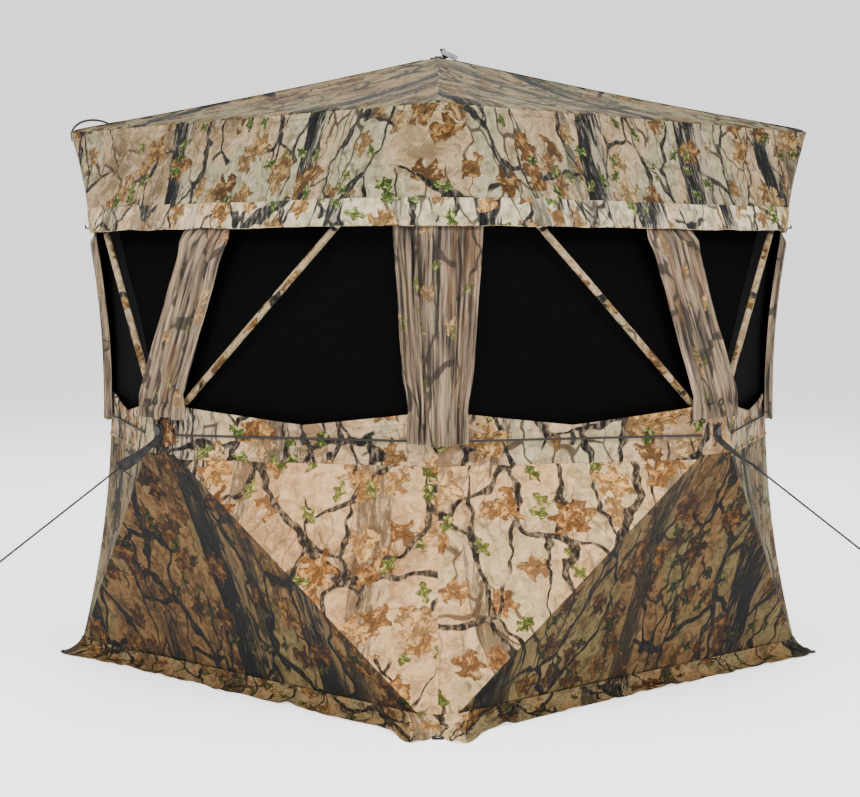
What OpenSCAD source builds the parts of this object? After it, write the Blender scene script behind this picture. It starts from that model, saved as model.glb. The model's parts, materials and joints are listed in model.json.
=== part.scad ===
// Pop up ground blind: four fabric walls and a roof, each pushed out by a hub with four rods.
// Origin at the centre of the ground square, +Z up, millimetres.
// Walls face -Y (front), +X (right), +Y (back) and -X (left).

/* [Shell] */
// Side of the ground square and of the eave
base_w = 1473; // [1400:1:1550]
// Height of the eave above the ground
eave_h = 1500; // [1450:5:1550]
// Rise of the roof from the eave to its peak
roof_rise = 204; // [170:1:240]
// How far each wall hub stands out from its wall's plane
hub_proud = 259; // [220:1:290]
// Height of the wall hubs
hub_h = 700; // [660:5:740]
// How far the corner edges pull inwards halfway up
corner_bow = 71; // [40:1:90]
// Thickness of the fabric solids
skin_t = 3; // [2:0.5:3]

/* [Windows] */
// Drop of the valance below the eave
valance_drop = 287; // [250:1:320]
// Height of the window sill at the corners and hubs
sill_h = 768; // [765:1:790]
// Extra dip of the sill halfway along each window
sill_dip = 42; // [10:1:45]
// Half width of the gathered curtain at each hub
hub_curtain_w = 72; // [50:1:90]
// Width of each leg of a corner curtain at its foot
corner_curtain_w = 100; // [70:1:120]

/* [Frame] */
// Diameter of the fibreglass rods
rod_d = 9; // [7:0.5:10]
// Radius of a hub disc
hub_r = 52; // [50:1:56]
// Thickness of a hub disc
hub_t = 25; // [22:0.5:25]
// Distance of the rod pins from the hub's centre
pivot_r = 44; // [42:0.5:46]
// Diameter of the rod pins
pin_d = 6; // [5:0.5:6]
// Gap between a rod's tip and the corner that it points at
tip_gap = 60; // [55:1:80]

/* [Trim] */
// Width of the pull straps
strap_w = 30; // [25:1:38]
// Length of the pull straps
strap_l = 150; // [100:5:170]
// Diameter of the guy ropes
rope_d = 5; // [4:0.5:6]
// Diameter of the stake holes in the ground loops
stake_d = 12; // [9:0.5:14]
// How far the skirt spreads beyond the foot of the walls
skirt_out = 62; // [30:1:80]

/* [Hidden] */
$fn = 48;
half = base_w / 2;
hub_out = half + hub_proud;
hem_z = eave_h - valance_drop;
lining = 16;                    // depth of the rods' centre lines behind the fabric's face
roof_lining = 34;               // depth of the roof hub's centre below the peak
flat_r = 80;                    // the fabric lies flat over a wall hub out to this radius
screen_back = 36;               // depth of the window screens behind the fabric's face
screen_foot = 712;              // lowest edge of the window screens
screen_top = 1400;              // highest edge of the window screens
slot_w = 8.6;                   // slots in the hub discs
tongue_t = 8;                   // rod fittings that turn in those slots
pin_clear = 0.08;               // radial clearance of a rod fitting on its pin
ferrule_d = 13;
cord_d = 6;
cord_z = 693;
zip_from = 90;                  // the door zip's tape, measured along the crease from the hub
zip_to = 800;
slider_l = 30;
slider_at = 785;                // the slider's rest place, at the foot of its tape
rope_drop = 0.57;               // fall of the guy ropes for each unit outwards

// The points that a rod aims at, in its wall's plane: across, up and outwards
aim_x = half - lining;
aim_out = half - lining;
function aim_z(up) = up ? eave_h - lining : lining;
function arm_run(up) = norm([aim_x, aim_z(up) - hub_h]);
function arm_dir(up) = [aim_x, aim_z(up) - hub_h] / arm_run(up);
pin_out = hub_out - lining;
function arm_len(up) = norm([arm_run(up) - pivot_r, pin_out - aim_out]) - tip_gap;
function arm_tilt(up) = atan((pin_out - aim_out) / (arm_run(up) - pivot_r));

// The fabric's face: straight across between the creases over the rods and the bowed corner edges
function corner_at(z) = half - corner_bow * (1 - pow((2 * z - eave_h) / eave_h, 2));
function flat_x(up) = flat_r * arm_dir(up)[0];
function flat_z(up) = hub_h + flat_r * arm_dir(up)[1];
function crease_t(z) = z > flat_z(true) ? (z - flat_z(true)) / (eave_h - flat_z(true))
    : z < flat_z(false) ? (flat_z(false) - z) / flat_z(false) : 0;
function crease_x(z) = flat_x(z > hub_h) + (half - flat_x(z > hub_h)) * crease_t(z);
function crease_out(z) = hub_out - hub_proud * crease_t(z);
function mix(a, b, t) = a + (b - a) * t;
function face_out(x, z) = abs(x) <= crease_x(z) ? crease_out(z)
    : mix(crease_out(z), corner_at(z), (abs(x) - crease_x(z)) / (corner_at(z) - crease_x(z)));

// Columns run from one corner (s = -3) over the crease (s = -1) and the middle (0) to the other
columns = [-3, -2, -1, -0.5, 0, 0.5, 1, 2, 3];
function column_x(s, z) = abs(s) <= 1 ? s * crease_x(z)
    : sign(s) * mix(crease_x(z), corner_at(z), (abs(s) - 1) / 2);
// A point of a wall, off millimetres outside its face; the wall faces -Y before it is turned
function wall_point(s, z, off) = let(c = corner_at(z), x = column_x(s, z))
    [x * (c + off) / c, -face_out(x, z) - off, z];
function turned(p, a) = [p[0] * cos(a) - p[1] * sin(a), p[0] * sin(a) + p[1] * cos(a), p[2]];
function sill_at(s) = sill_h - sill_dip * max(0, 1 - abs(abs(s) - 2));

FRONT = 0;
RIGHT = 90;
BACK = 180;
LEFT = 270;

// A closed sheet between an outer and an inner grid of points; a ring joins its ends
module sheet(outer, inner, ring = false) {
    rows = len(outer);
    cols = len(outer[0]);
    all_points = [for (g = [outer, inner], r = g, p = r) p];
    function at(g, r, c) = g * rows * cols + r * cols + c % cols;
    last = ring ? cols - 1 : cols - 2;
    skins = [for (r = [0:rows - 2], c = [0:last], f = [
        [at(0, r, c), at(0, r + 1, c), at(0, r + 1, c + 1)],
        [at(0, r, c), at(0, r + 1, c + 1), at(0, r, c + 1)],
        [at(1, r, c), at(1, r + 1, c + 1), at(1, r + 1, c)],
        [at(1, r, c), at(1, r, c + 1), at(1, r + 1, c + 1)]]) f];
    rims = [for (c = [0:last], f = [
        [at(0, 0, c), at(0, 0, c + 1), at(1, 0, c + 1)],
        [at(0, 0, c), at(1, 0, c + 1), at(1, 0, c)],
        [at(0, rows - 1, c), at(1, rows - 1, c + 1), at(0, rows - 1, c + 1)],
        [at(0, rows - 1, c), at(1, rows - 1, c), at(1, rows - 1, c + 1)]]) f];
    ends = ring ? [] : [for (r = [0:rows - 2], f = [
        [at(0, r, 0), at(1, r + 1, 0), at(0, r + 1, 0)],
        [at(0, r, 0), at(1, r, 0), at(1, r + 1, 0)],
        [at(0, r, cols - 1), at(0, r + 1, cols - 1), at(1, r + 1, cols - 1)],
        [at(0, r, cols - 1), at(1, r + 1, cols - 1), at(1, r, cols - 1)]]) f];
    polyhedron(points = all_points, faces = concat(skins, rims, ends), convexity = 8);
}

// One row of points round all four walls, at height z and off millimetres outside the face
function round_row(z, off) = [for (a = [FRONT, RIGHT, BACK, LEFT], i = [0:len(columns) - 2])
    turned(wall_point(columns[i], z, off), a)];

// Places a child that is drawn on the front wall onto the wall at angle a
module on_wall(a) { rotate([0, 0, a]) children(); }

// ---------- fabric ----------

module lower_wall(a) {
    heights = [0, 120, 240, 360, 480, 570, flat_z(false), hub_h];
    function grid(off) = [
        for (z = heights) [for (s = columns) wall_point(s, z, off)],
        [for (s = columns) wall_point(s, min(flat_z(true), sill_at(s) - 6), off)],
        [for (s = columns) wall_point(s, sill_at(s), off)]];
    on_wall(a) color("#8d8069") difference() {
        sheet(grid(0), grid(-skin_t));
        // grommet hole for the strap rivet
        translate([0, -hub_out, hub_h]) rotate([90, 0, 0]) cylinder(d = 14, h = 20, center = true);
    }
}

module valance() {
    heights = [hem_z, 1270, 1340, 1420, eave_h - 3];
    color("#a69678")
        sheet([for (z = heights) round_row(z, 3 + skin_t)], [for (z = heights) round_row(z, 3)],
            ring = true);
}

module roof() {
    edge = half + 3 + skin_t;
    base = eave_h - 3;
    peak = eave_h + roof_rise;
    // rings of the roof from the eave up to the grommet: half width and height of each
    rings = [[edge, base], [edge - 4, eave_h + 2], [half * 0.66, mix(eave_h, peak, 0.34) - 6],
        [half * 0.33, mix(eave_h, peak, 0.67) - 4], [24, peak]];
    function square_row(w, z) = [for (a = [FRONT, RIGHT, BACK, LEFT], t = [-1, -0.5, 0, 0.5])
        turned([t * w, -w, z], a)];
    color("#998a6c") difference() {
        sheet([for (r = rings) square_row(r[0], r[1])],
            [for (i = [0:len(rings) - 1]) square_row(rings[i][0] - (i == 0 ? skin_t : 0),
                rings[i][1] - (i == 0 ? 0 : skin_t))], ring = true);
        cylinder(d = 14, h = 2 * peak);
    }
}

module ground_skirt() {
    // height and spread of each row, from the edge on the ground to the seam on the wall
    outer = [[3, skirt_out], [14, 0.68 * skirt_out], [46, 0.3 * skirt_out], [72, 14],
        [96, 7]];
    inner = [[0, skirt_out - 1], [9, 0.68 * skirt_out - 4], [44, 0.3 * skirt_out - 4], [70, 10],
        [96, 3]];
    // share of half the wall, and share of the spread there: little at a corner, most beside it
    places = [[-1, 0.15], [-0.94, 1.2], [-0.91, 1.25], [-0.88, 1.25], [-0.72, 0.9], [-0.5, 1],
        [-0.25, 0.85], [0, 1], [0.25, 0.85], [0.5, 1], [0.72, 0.9], [0.88, 1.25], [0.91, 1.25],
        [0.94, 1.2]];
    function row(z, off) = [for (a = [FRONT, RIGHT, BACK, LEFT], p = places)
        let(c = corner_at(z), o = 1 + (off - 1) * p[1])
        turned([p[0] * (c + (abs(p[0]) == 1 ? o : 0)), -face_out(p[0] * c, z) - o, z], a)];
    color("#80715a")
        sheet([for (r = outer) row(r[0], r[1])], [for (r = inner) row(r[0], r[1])], ring = true);
}

module window_screens() {
    heights = [screen_foot, 800, 960, 1120, 1260, screen_top];
    color("#101010")
        sheet([for (z = heights) round_row(z, -screen_back)],
            [for (z = heights) round_row(z, -screen_back - skin_t)], ring = true);
}

module hub_curtain(a) {
    heights = [732, 762, 800, 900, 1000, 1100, hem_z - 2];
    function half_w(z) = hub_curtain_w * mix(0.94, 1.08, (z - 732) / 480);
    function row(z, off) = [for (t = [-1, -0.5, 0, 0.5, 1]) let(x = t * half_w(z))
        [x, -face_out(x, z) - off, z]];
    on_wall(a) color("#80705a") sheet([for (z = heights) row(z, 24)], [for (z = heights) row(z, 9)]);
}

module corner_curtain(a) {
    heights = [680, 760, 860, 980, 1100, hem_z - 2];
    function leg(z) = corner_curtain_w * mix(1, 1.5, (z - 680) / 530);
    // one leg on the wall that faces -Y, the corner itself, and one leg on the wall that faces +X
    function row(z, off) = let(c = corner_at(z), l = leg(z),
        p = face_out(c - l, z), h = face_out(c - l / 2, z))
        [[c - l, -p - off, z], [c - l / 2, -h - off, z], [c + off, -c - off, z],
            [h + off, -c + l / 2, z], [p + off, -c + l, z]];
    on_wall(a) color("#7b6a53") sheet([for (z = heights) row(z, 24)], [for (z = heights) row(z, 9)]);
}

// ---------- cord, ropes and loops ----------

// A tube along points, with rings of sides points; the rings stay square to the route
module tube(points, d, sides = 8) {
    n = len(points);
    function way(i) = let(v = points[min(i + 1, n - 1)] - points[max(i - 1, 0)]) v / norm(v);
    function ring(i) = let(w = way(i), u0 = cross(w, [0, 0, 1]), u = u0 / norm(u0), v = cross(u, w))
        [for (k = [0:sides - 1]) points[i] + d / 2 * (u * cos(360 * k / sides) + v * sin(360 * k / sides))];
    rings = [for (i = [0:n - 1]) ring(i)];
    skin = [for (i = [0:n - 2], k = [0:sides - 1], f = [
        [i * sides + k, i * sides + (k + 1) % sides, (i + 1) * sides + k],
        [i * sides + (k + 1) % sides, (i + 1) * sides + (k + 1) % sides, (i + 1) * sides + k]]) f];
    polyhedron(points = [for (r = rings, p = r) p],
        faces = concat(skin, [[for (k = [sides - 1:-1:0]) k]],
            [[for (k = [0:sides - 1]) (n - 1) * sides + k]]), convexity = 4);
}

// Points from a to b, n steps apart
function run(a, b, n) = [for (i = [0:n - 1]) mix(a, b, i / n)];

module window_cord() {
    // from beside one hub, along the wall, round the corner under its curtain and on to the next hub
    near_x = 62;
    off = cord_d / 2 + 2;
    c = corner_at(cord_z) + 0.74 * off;
    hub_end = [near_x, -face_out(near_x, cord_z) - off, cord_z];
    next_end = [-hub_end[1], -hub_end[0], cord_z];
    bend_in = mix([c, -c, cord_z], hub_end, 0.008);
    bend_out = mix([c, -c, cord_z], next_end, 0.008);
    color("#161616") for (a = [FRONT, RIGHT, BACK, LEFT]) on_wall(a)
        tube([hub_end, mix(hub_end, bend_in, 0.5), bend_in, mix(bend_in, bend_out, 0.5), bend_out,
            mix(bend_out, next_end, 0.5), next_end], cord_d);
}

// The rope leaves the end of the pulled strap and ends in a knot
rope_start = [0, -1125, 613];
rope_end = [0, -1496, 401];
knot_d = 14;
module guy_rope(a) {
    on_wall(a) color("#1a1a18") {
        tube(concat(run(rope_start, rope_end, 36), [rope_end]), rope_d);
        translate(rope_end) sphere(d = knot_d, $fn = 32);
    }
}

module corner_pockets() {
    color("#2a2a26") for (a = [FRONT, RIGHT, BACK, LEFT], up = [true, false]) rotate([0, 0, a])
        translate([aim_x, -aim_out, aim_z(up)])
            rotate([up ? -123 : -57, 0, 45]) cylinder(r1 = 6, r2 = 21, h = 42);
}

module stake_loops() {
    // webbing tab on the ground at the skirt's corner notch, with a hole for the stake
    tab_from = sqrt(2) * half + 15.7;
    color("#141414") for (a = [45:90:315]) rotate([0, 0, a]) difference() {
        translate([tab_from, -15, 0]) cube([38, 30, 4]);
        translate([tab_from + 20, 0, -1]) cylinder(d = stake_d, h = 6);
    }
}

module roof_loop() {
    // a low loop over the ridge by the front left corner, tilted with the ridge
    color("#3a3428") rotate([0, 0, 225]) translate([973, 0, eave_h + 17])
        rotate([0, 9.8, 0]) rotate([90, 0, 0]) scale([1.2, 0.62, 1]) intersection() {
            rotate_extrude() translate([38, 0]) square([3, 12], center = true);
            translate([-50, 0, -20]) cube([100, 50, 40]);
        }
}

module hem_hooks() {
    color("#121212") for (a = [45:90:315]) rotate([0, 0, a])
        translate([sqrt(2) * (corner_at(hem_z + 22) + 3 + skin_t) + 4.5, 0, hem_z + 14]) union() {
            cube([8, 12, 16], center = true);
            translate([8, 0, -2]) rotate([0, 90, 0]) cylinder(d = 5, h = 14, center = true);
            translate([15, 0, 2]) cylinder(d = 5, h = 13, center = true);
        }
}

// ---------- hubs ----------

// Places a child drawn about a hub's centre, with +Z outwards, at the hub of the wall at angle a
module at_wall_hub(a) {
    on_wall(a) translate([0, -pin_out, hub_h]) rotate([90, 0, 0]) children();
}
module at_roof_hub() { translate([0, 0, roof_pin_z]) children(); }
roof_pin_z = eave_h + roof_rise - roof_lining;

// Angles of the four arms about a hub, seen from outside: upper two, then lower two
up_angle = atan2(arm_dir(true)[1], arm_dir(true)[0]);
low_angle = atan2(-arm_dir(false)[1], arm_dir(false)[0]);
wall_arms = [up_angle, 180 - up_angle, 180 + low_angle, -low_angle];
roof_arms = [45, 135, 225, 315];

module hub_disc(arms) {
    color("#23231f") difference() {
        cylinder(r = hub_r, h = hub_t, center = true);
        for (g = arms) rotate([0, 0, g]) {
            translate([24, -slot_w / 2, -hub_t]) cube([60, slot_w, 2 * hub_t]);
            translate([pivot_r, 0, 0]) rotate([90, 0, 0]) cylinder(d = pin_d, h = 90, center = true);
        }
        cylinder(d = 8, h = 3 * hub_t, center = true);
    }
}

// The rivet reaches through the grommet in the fabric, depth above the hub's centre
module hub_hardware(arms, depth) {
    rivet_up = depth + 9;
    color("#8f9194") {
        for (g = arms) rotate([0, 0, g]) translate([pivot_r, 0, 0]) rotate([90, 0, 0])
            cylinder(d = pin_d, h = 38, center = true);
        translate([0, 0, -hub_t / 2 - 3]) cylinder(d = 20, h = 3);
        translate([0, 0, -hub_t / 2 - 1]) cylinder(d = 8, h = rivet_up + hub_t / 2 + 1);
        translate([0, 0, rivet_up - 4]) cylinder(d = 22, h = 4);
    }
}

// The strap's foot lies under the rivet's head; its loop is pulled out along the rope or hangs down
strap_lift = lining + 1;
module pull_strap(pulled) {
    out_angle = atan(rope_drop);
    color("#1d1d1b") difference() {
        union() {
            translate([-strap_w / 2 - 3, -18, strap_lift]) cube([strap_w + 6, 36, 4]);
            if (pulled)
                translate([0, -12, strap_lift + 1]) rotate([out_angle, 0, 0])
                    translate([-strap_w / 2, -3, 0]) cube([strap_w, 4, strap_l - 5]);
            else
                translate([-strap_w / 2, -strap_l, strap_lift]) cube([strap_w, strap_l, 4]);
        }
        cylinder(d = 8, h = 60);
    }
}

// A black base and post of webbing, with a silver tab that leans over from the post's top
module roof_tab() {
    color("#9b9da0") rotate([0, 0, 45]) difference() {
        union() {
            translate([-22, -14, roof_lining + 1]) cube([44, 28, 4]);
            translate([9, -8, roof_lining + 2]) cube([7, 16, 25]);
            translate([9, -4, roof_lining + 29.8]) rotate([0, 24, 0]) translate([0, 0, -13])
                cube([46, 8, 13]);
        }
        cylinder(d = 8, h = 60);
    }
}

// ---------- rods ----------

// A rod along +X from its pin: fitting with a tongue, ferrule, rod and rounded tip
module rod_shape(length) {
    color("#b9ac86") difference() {
        union() {
            rotate([90, 0, 0]) cylinder(d = 17, h = tongue_t, center = true);
            translate([0, -tongue_t / 2, -6]) cube([26, tongue_t, 12]);
            translate([24, 0, 0]) rotate([0, 90, 0]) cylinder(d = ferrule_d, h = 52);
            translate([70, 0, 0]) rotate([0, 90, 0]) cylinder(d = rod_d, h = length - 76);
            translate([length - 22, 0, 0]) rotate([0, 90, 0]) cylinder(d = ferrule_d - 1, h = 16);
            translate([length - 6, 0, 0]) sphere(d = ferrule_d - 1);
        }
        rotate([90, 0, 0]) cylinder(d = pin_d + 2 * pin_clear, h = 40, center = true);
    }
}

module wall_rod(a, i) {
    up = i < 2;
    at_wall_hub(a) rotate([0, 0, wall_arms[i]]) translate([pivot_r, 0, 0])
        rotate([0, arm_tilt(up), 0]) rod_shape(arm_len(up));
}

roof_run = sqrt(2) * aim_x - pivot_r;
roof_fall = roof_pin_z - aim_z(true);
module roof_rod(i) {
    at_roof_hub() rotate([0, 0, roof_arms[i]]) translate([pivot_r, 0, 0])
        rotate([0, atan(roof_fall / roof_run), 0]) rod_shape(norm([roof_run, roof_fall]) - tip_gap);
}

// ---------- door zip ----------

// Places a child with +X along the back wall's third rod crease and +Z outwards from the fabric
zip_foot = [half, 0, half];
zip_head = [flat_x(false), hub_out, flat_z(false)];
zip_len = norm([zip_foot[0] - zip_head[0], zip_foot[1] - zip_head[1], zip_foot[2] - zip_head[2]]);
module on_zip() {
    on_wall(BACK) translate([-flat_x(false), -hub_out, flat_z(false)]) rotate([90, 0, 0])
        rotate([0, 0, 180 + low_angle_face]) rotate([0, face_tilt, 0]) children();
}
low_angle_face = atan2(flat_z(false), half - flat_x(false));
face_tilt = atan(hub_proud / norm([half - flat_x(false), flat_z(false)]));

module door_zip_tape() {
    on_zip() color("#2b2a24") union() {
        translate([zip_from, -13, 0.4]) cube([zip_to - zip_from, 26, 1.6]);
        translate([zip_from, -2.5, 1.5]) cube([zip_to - zip_from, 5, 2.5]);
    }
}

module door_zip_slider() {
    on_zip() color("#4a4a48") difference() {
        union() {
            translate([slider_at - slider_l, -7, 2.5]) cube([slider_l, 14, 5.5]);
            translate([slider_at - slider_l + 6, -4, 7.5]) cube([44, 8, 2]);
        }
        translate([slider_at - slider_l - 1, -3, 0]) cube([slider_l + 2, 6, 4.5]);
    }
}

// ---------- nodes ----------

roof();
valance();
lower_wall(FRONT);  // lower_wall_front
lower_wall(RIGHT);  // lower_wall_right
lower_wall(BACK);  // lower_wall_back
lower_wall(LEFT);  // lower_wall_left
ground_skirt();
window_screens();
hub_curtain(FRONT);  // hub_curtain_front
hub_curtain(RIGHT);  // hub_curtain_right
hub_curtain(BACK);  // hub_curtain_back
hub_curtain(LEFT);  // hub_curtain_left
corner_curtain(FRONT);  // corner_curtain_front_right
corner_curtain(RIGHT);  // corner_curtain_back_right
corner_curtain(BACK);  // corner_curtain_back_left
corner_curtain(LEFT);  // corner_curtain_front_left
window_cord();
corner_pockets();
stake_loops();
roof_loop();
hem_hooks();
door_zip_tape();
door_zip_slider();
guy_rope(FRONT);  // guy_rope_front
guy_rope(RIGHT);  // guy_rope_right
at_wall_hub(FRONT) hub_disc(wall_arms);  // hub_front
at_wall_hub(RIGHT) hub_disc(wall_arms);  // hub_right
at_wall_hub(BACK) hub_disc(wall_arms);  // hub_back
at_wall_hub(LEFT) hub_disc(wall_arms);  // hub_left
at_roof_hub() hub_disc(roof_arms);  // hub_roof
at_wall_hub(FRONT)  // hub_hardware_front
    hub_hardware(wall_arms, lining);
at_wall_hub(RIGHT)  // hub_hardware_right
    hub_hardware(wall_arms, lining);
at_wall_hub(BACK)  // hub_hardware_back
    hub_hardware(wall_arms, lining);
at_wall_hub(LEFT)  // hub_hardware_left
    hub_hardware(wall_arms, lining);
at_roof_hub()  // hub_hardware_roof
    hub_hardware(roof_arms, roof_lining);
at_wall_hub(FRONT) pull_strap(true);  // pull_strap_front
at_wall_hub(RIGHT) pull_strap(true);  // pull_strap_right
at_wall_hub(BACK) pull_strap(false);  // pull_strap_back
at_wall_hub(LEFT) pull_strap(false);  // pull_strap_left
at_roof_hub() roof_tab();
wall_rod(FRONT, 0);  // rod_front_1
wall_rod(FRONT, 1);  // rod_front_2
wall_rod(FRONT, 2);  // rod_front_3
wall_rod(FRONT, 3);  // rod_front_4
wall_rod(RIGHT, 0);  // rod_right_1
wall_rod(RIGHT, 1);  // rod_right_2
wall_rod(RIGHT, 2);  // rod_right_3
wall_rod(RIGHT, 3);  // rod_right_4
wall_rod(BACK, 0);  // rod_back_1
wall_rod(BACK, 1);  // rod_back_2
wall_rod(BACK, 2);  // rod_back_3
wall_rod(BACK, 3);  // rod_back_4
wall_rod(LEFT, 0);  // rod_left_1
wall_rod(LEFT, 1);  // rod_left_2
wall_rod(LEFT, 2);  // rod_left_3
wall_rod(LEFT, 3);  // rod_left_4
roof_rod(0);  // rod_roof_1
roof_rod(1);  // rod_roof_2
roof_rod(2);  // rod_roof_3
roof_rod(3);  // rod_roof_4
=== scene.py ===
"""Pop up ground blind: cloth, curtains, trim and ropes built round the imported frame.

Metres, +Z up. The walls face -Y (front), +X (right), +Y (back) and -X (left).
A wall is drawn as the front wall, in (across, height), and then turned about Z.
"""
import json
import math

import bmesh
import bpy
from mathutils import Matrix, Vector, noise


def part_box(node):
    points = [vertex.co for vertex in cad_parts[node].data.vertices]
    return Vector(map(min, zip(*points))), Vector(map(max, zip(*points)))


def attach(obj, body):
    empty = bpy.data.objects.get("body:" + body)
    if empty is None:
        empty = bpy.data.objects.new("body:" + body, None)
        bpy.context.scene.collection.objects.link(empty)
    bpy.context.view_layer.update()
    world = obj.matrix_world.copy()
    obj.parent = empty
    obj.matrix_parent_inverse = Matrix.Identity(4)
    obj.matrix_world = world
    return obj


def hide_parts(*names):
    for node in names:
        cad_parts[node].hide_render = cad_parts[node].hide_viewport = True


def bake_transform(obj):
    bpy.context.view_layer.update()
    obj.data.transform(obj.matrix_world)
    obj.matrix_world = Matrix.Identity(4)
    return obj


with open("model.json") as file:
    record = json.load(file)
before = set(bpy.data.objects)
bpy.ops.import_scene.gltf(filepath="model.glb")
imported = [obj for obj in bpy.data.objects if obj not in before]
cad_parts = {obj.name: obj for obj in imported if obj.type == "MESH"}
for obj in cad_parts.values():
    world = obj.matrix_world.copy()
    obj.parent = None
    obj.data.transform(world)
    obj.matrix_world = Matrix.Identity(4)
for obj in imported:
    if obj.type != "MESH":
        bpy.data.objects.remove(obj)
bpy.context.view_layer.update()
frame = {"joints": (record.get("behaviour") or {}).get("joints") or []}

# ------------------------------ sizes, from the frame

WALLS = {"front": 0, "right": 90, "back": 180, "left": 270}
CORNERS = {"front_right": 0, "back_right": 90, "back_left": 180, "front_left": 270}
JOINTS = {j["name"]: j for j in frame["joints"]}


def low(node):
    return Vector(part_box(node)[0])


def high(node):
    return Vector(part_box(node)[1])


def middle(node):
    return (low(node) + high(node)) / 2


SIDES = {-1: "left", 1: "right"}
HALF = high("lower_wall_front").x
HUB_OUT = -low("lower_wall_front").y
HUB_Z = middle("hub_front").z
EAVE = low("roof").z + 0.003
PEAK = high("roof").z
HEM = low("valance").z
BOW = 0.071                      # how far the corner edges pull in
SILL = high("lower_wall_front").z
SILL_DIP = 0.042                 # the sill hangs this far between hub and corner
LINING = 0.016                   # depth of the rods behind the cloth
HUB_FLAT = 0.080                 # the cloth lies flat over a hub out to here
SCREEN_BACK = 0.036              # depth of the netting behind the cloth
SCREEN_FOOT = low("window_screens").z
SCREEN_TOP = high("window_screens").z
SEAM_Z = 0.632                   # seam under the windows
BAND_Z = SEAM_Z + 0.004          # the strip above the seam starts here
SEAM_ROLL = 0.010                # height of the seam's raised fold
SILL_HEM = 0.022
CORD_Z = middle("window_cord").z
CORD_R = 0.003
PIN_UP = Vector(JOINTS["swing_front_1"]["pos_m"])
PIN_LOW = Vector(JOINTS["swing_front_4"]["pos_m"])
PIN_R = math.hypot(PIN_UP.x, PIN_UP.z - HUB_Z)
# the edge of that flat cloth along the upper and the lower rods
FLAT_UP, FLAT_LOW = (Vector((pin.x, 0, pin.z - HUB_Z)) * (HUB_FLAT / PIN_R) + Vector((0, 0, HUB_Z))
                     for pin in (PIN_UP, PIN_LOW))

# where the cloth would start to follow a hub: across on the sides, and in height above and below it;
# follow() takes these points but moves nothing
STILL_X = HALF - BOW
STILL_SHARE = 1 - STILL_X / HALF
STILL_TOP = EAVE - (EAVE - HUB_Z) * STILL_SHARE
STILL_FOOT = HUB_Z * STILL_SHARE


def mix(a, b, t):
    return a + (b - a) * t


def clamp(x):
    return max(0.0, min(1.0, x))


def ease(x):
    x = clamp(x)
    return x * x * (3 - 2 * x)


def ruffle(x, y, z):
    """Smooth noise from about -1 to 1."""
    return noise.noise(Vector((x, y, z)))


# ------------------------------ the shell's shape


def corner_at(z):
    return HALF - BOW * (1 - (2 * z / EAVE - 1) ** 2)


def crease_share(z):
    """0 over the hub, 1 at the corner that a rod points at."""
    if z > FLAT_UP.z:
        return (z - FLAT_UP.z) / (EAVE - FLAT_UP.z)
    if z < FLAT_LOW.z:
        return (FLAT_LOW.z - z) / FLAT_LOW.z
    return 0.0


def crease_x(z):
    near = FLAT_UP.x if z > HUB_Z else FLAT_LOW.x
    return mix(near, HALF, crease_share(z))


def crease_out(z):
    return HUB_OUT - (HUB_OUT - HALF) * crease_share(z)


def face_out(x, z):
    """How far a wall's taut cloth stands from the middle of the blind."""
    a, c = crease_x(z), corner_at(z)
    if abs(x) <= a or c - a < 1e-6:
        return crease_out(z)
    return mix(crease_out(z), c, (abs(x) - a) / (c - a))


def turn(p, angle):
    return Matrix.Rotation(math.radians(angle), 3, "Z") @ Vector(p)


def wall_point(x, z, lift, angle):
    """A point lift metres outside a wall's face; the corners mitre."""
    c = corner_at(z)
    return turn((x * (c + lift) / c, -face_out(x, z) - lift, z), angle)


def folds_from(x, z, px, pz, count, reach, seed):
    """Creases that fan out from a point under tension."""
    dx, dz = x - px, z - pz
    r = math.hypot(dx, dz)
    return ruffle(math.atan2(dz, dx) * count, r * 2.2, seed) * math.exp(-r / reach) * ease(r / 0.05)


def slack(x, z, seed):
    """How far the cloth strays from taut: sag between the rods, creases and soft waves."""
    c, a = corner_at(z), crease_x(z)
    rise = math.sin(math.pi * clamp(z / HUB_Z))
    if abs(x) > a:
        across = (abs(x) - a) / max(c - a, 1e-4)
        sag = -0.011 * math.sin(math.pi * clamp(across)) * rise
    else:
        across = abs(x) / a
        sag = -0.022 * (1 - across * across) * rise
    wave = 0.0050 * ruffle(x * 3.1, z * 3.7, seed) + 0.0018 * ruffle(x * 9.0, z * 8.0, seed + 5)
    for side in (-1, 1):
        wave += 0.014 * folds_from(x, z, side * HALF, 0.0, 5.5, 0.24, seed + side)
    wave += 0.009 * folds_from(x, z, 0.0, HUB_Z, 3.4, 0.17, seed + 9)
    # upright puckers that hang from the seam under the windows
    wave += 0.0032 * ruffle(x * 22, z * 1.6, seed + 20) * math.exp(-abs(z - SEAM_Z) / 0.10)
    edge = ease((c - abs(x)) / 0.05) * ease(z / 0.03)
    taut = ease((math.hypot(x, z - HUB_Z) - 0.065) / 0.11)
    crease = mix(0.35, 1.0, ease(abs(abs(x) - a) / 0.05))
    return (sag + wave * crease) * edge * taut


def sill_height(x):
    """Height of the window sill: level at hubs and corners, dipping between them."""
    a, c = crease_x(SILL), corner_at(SILL)
    if abs(x) <= a:
        return SILL
    s = clamp((abs(x) - a) / (c - a))
    return SILL - SILL_DIP * (1 - abs(2 * s - 1)) ** 0.9


# ------------------------------ materials: small node language


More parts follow.
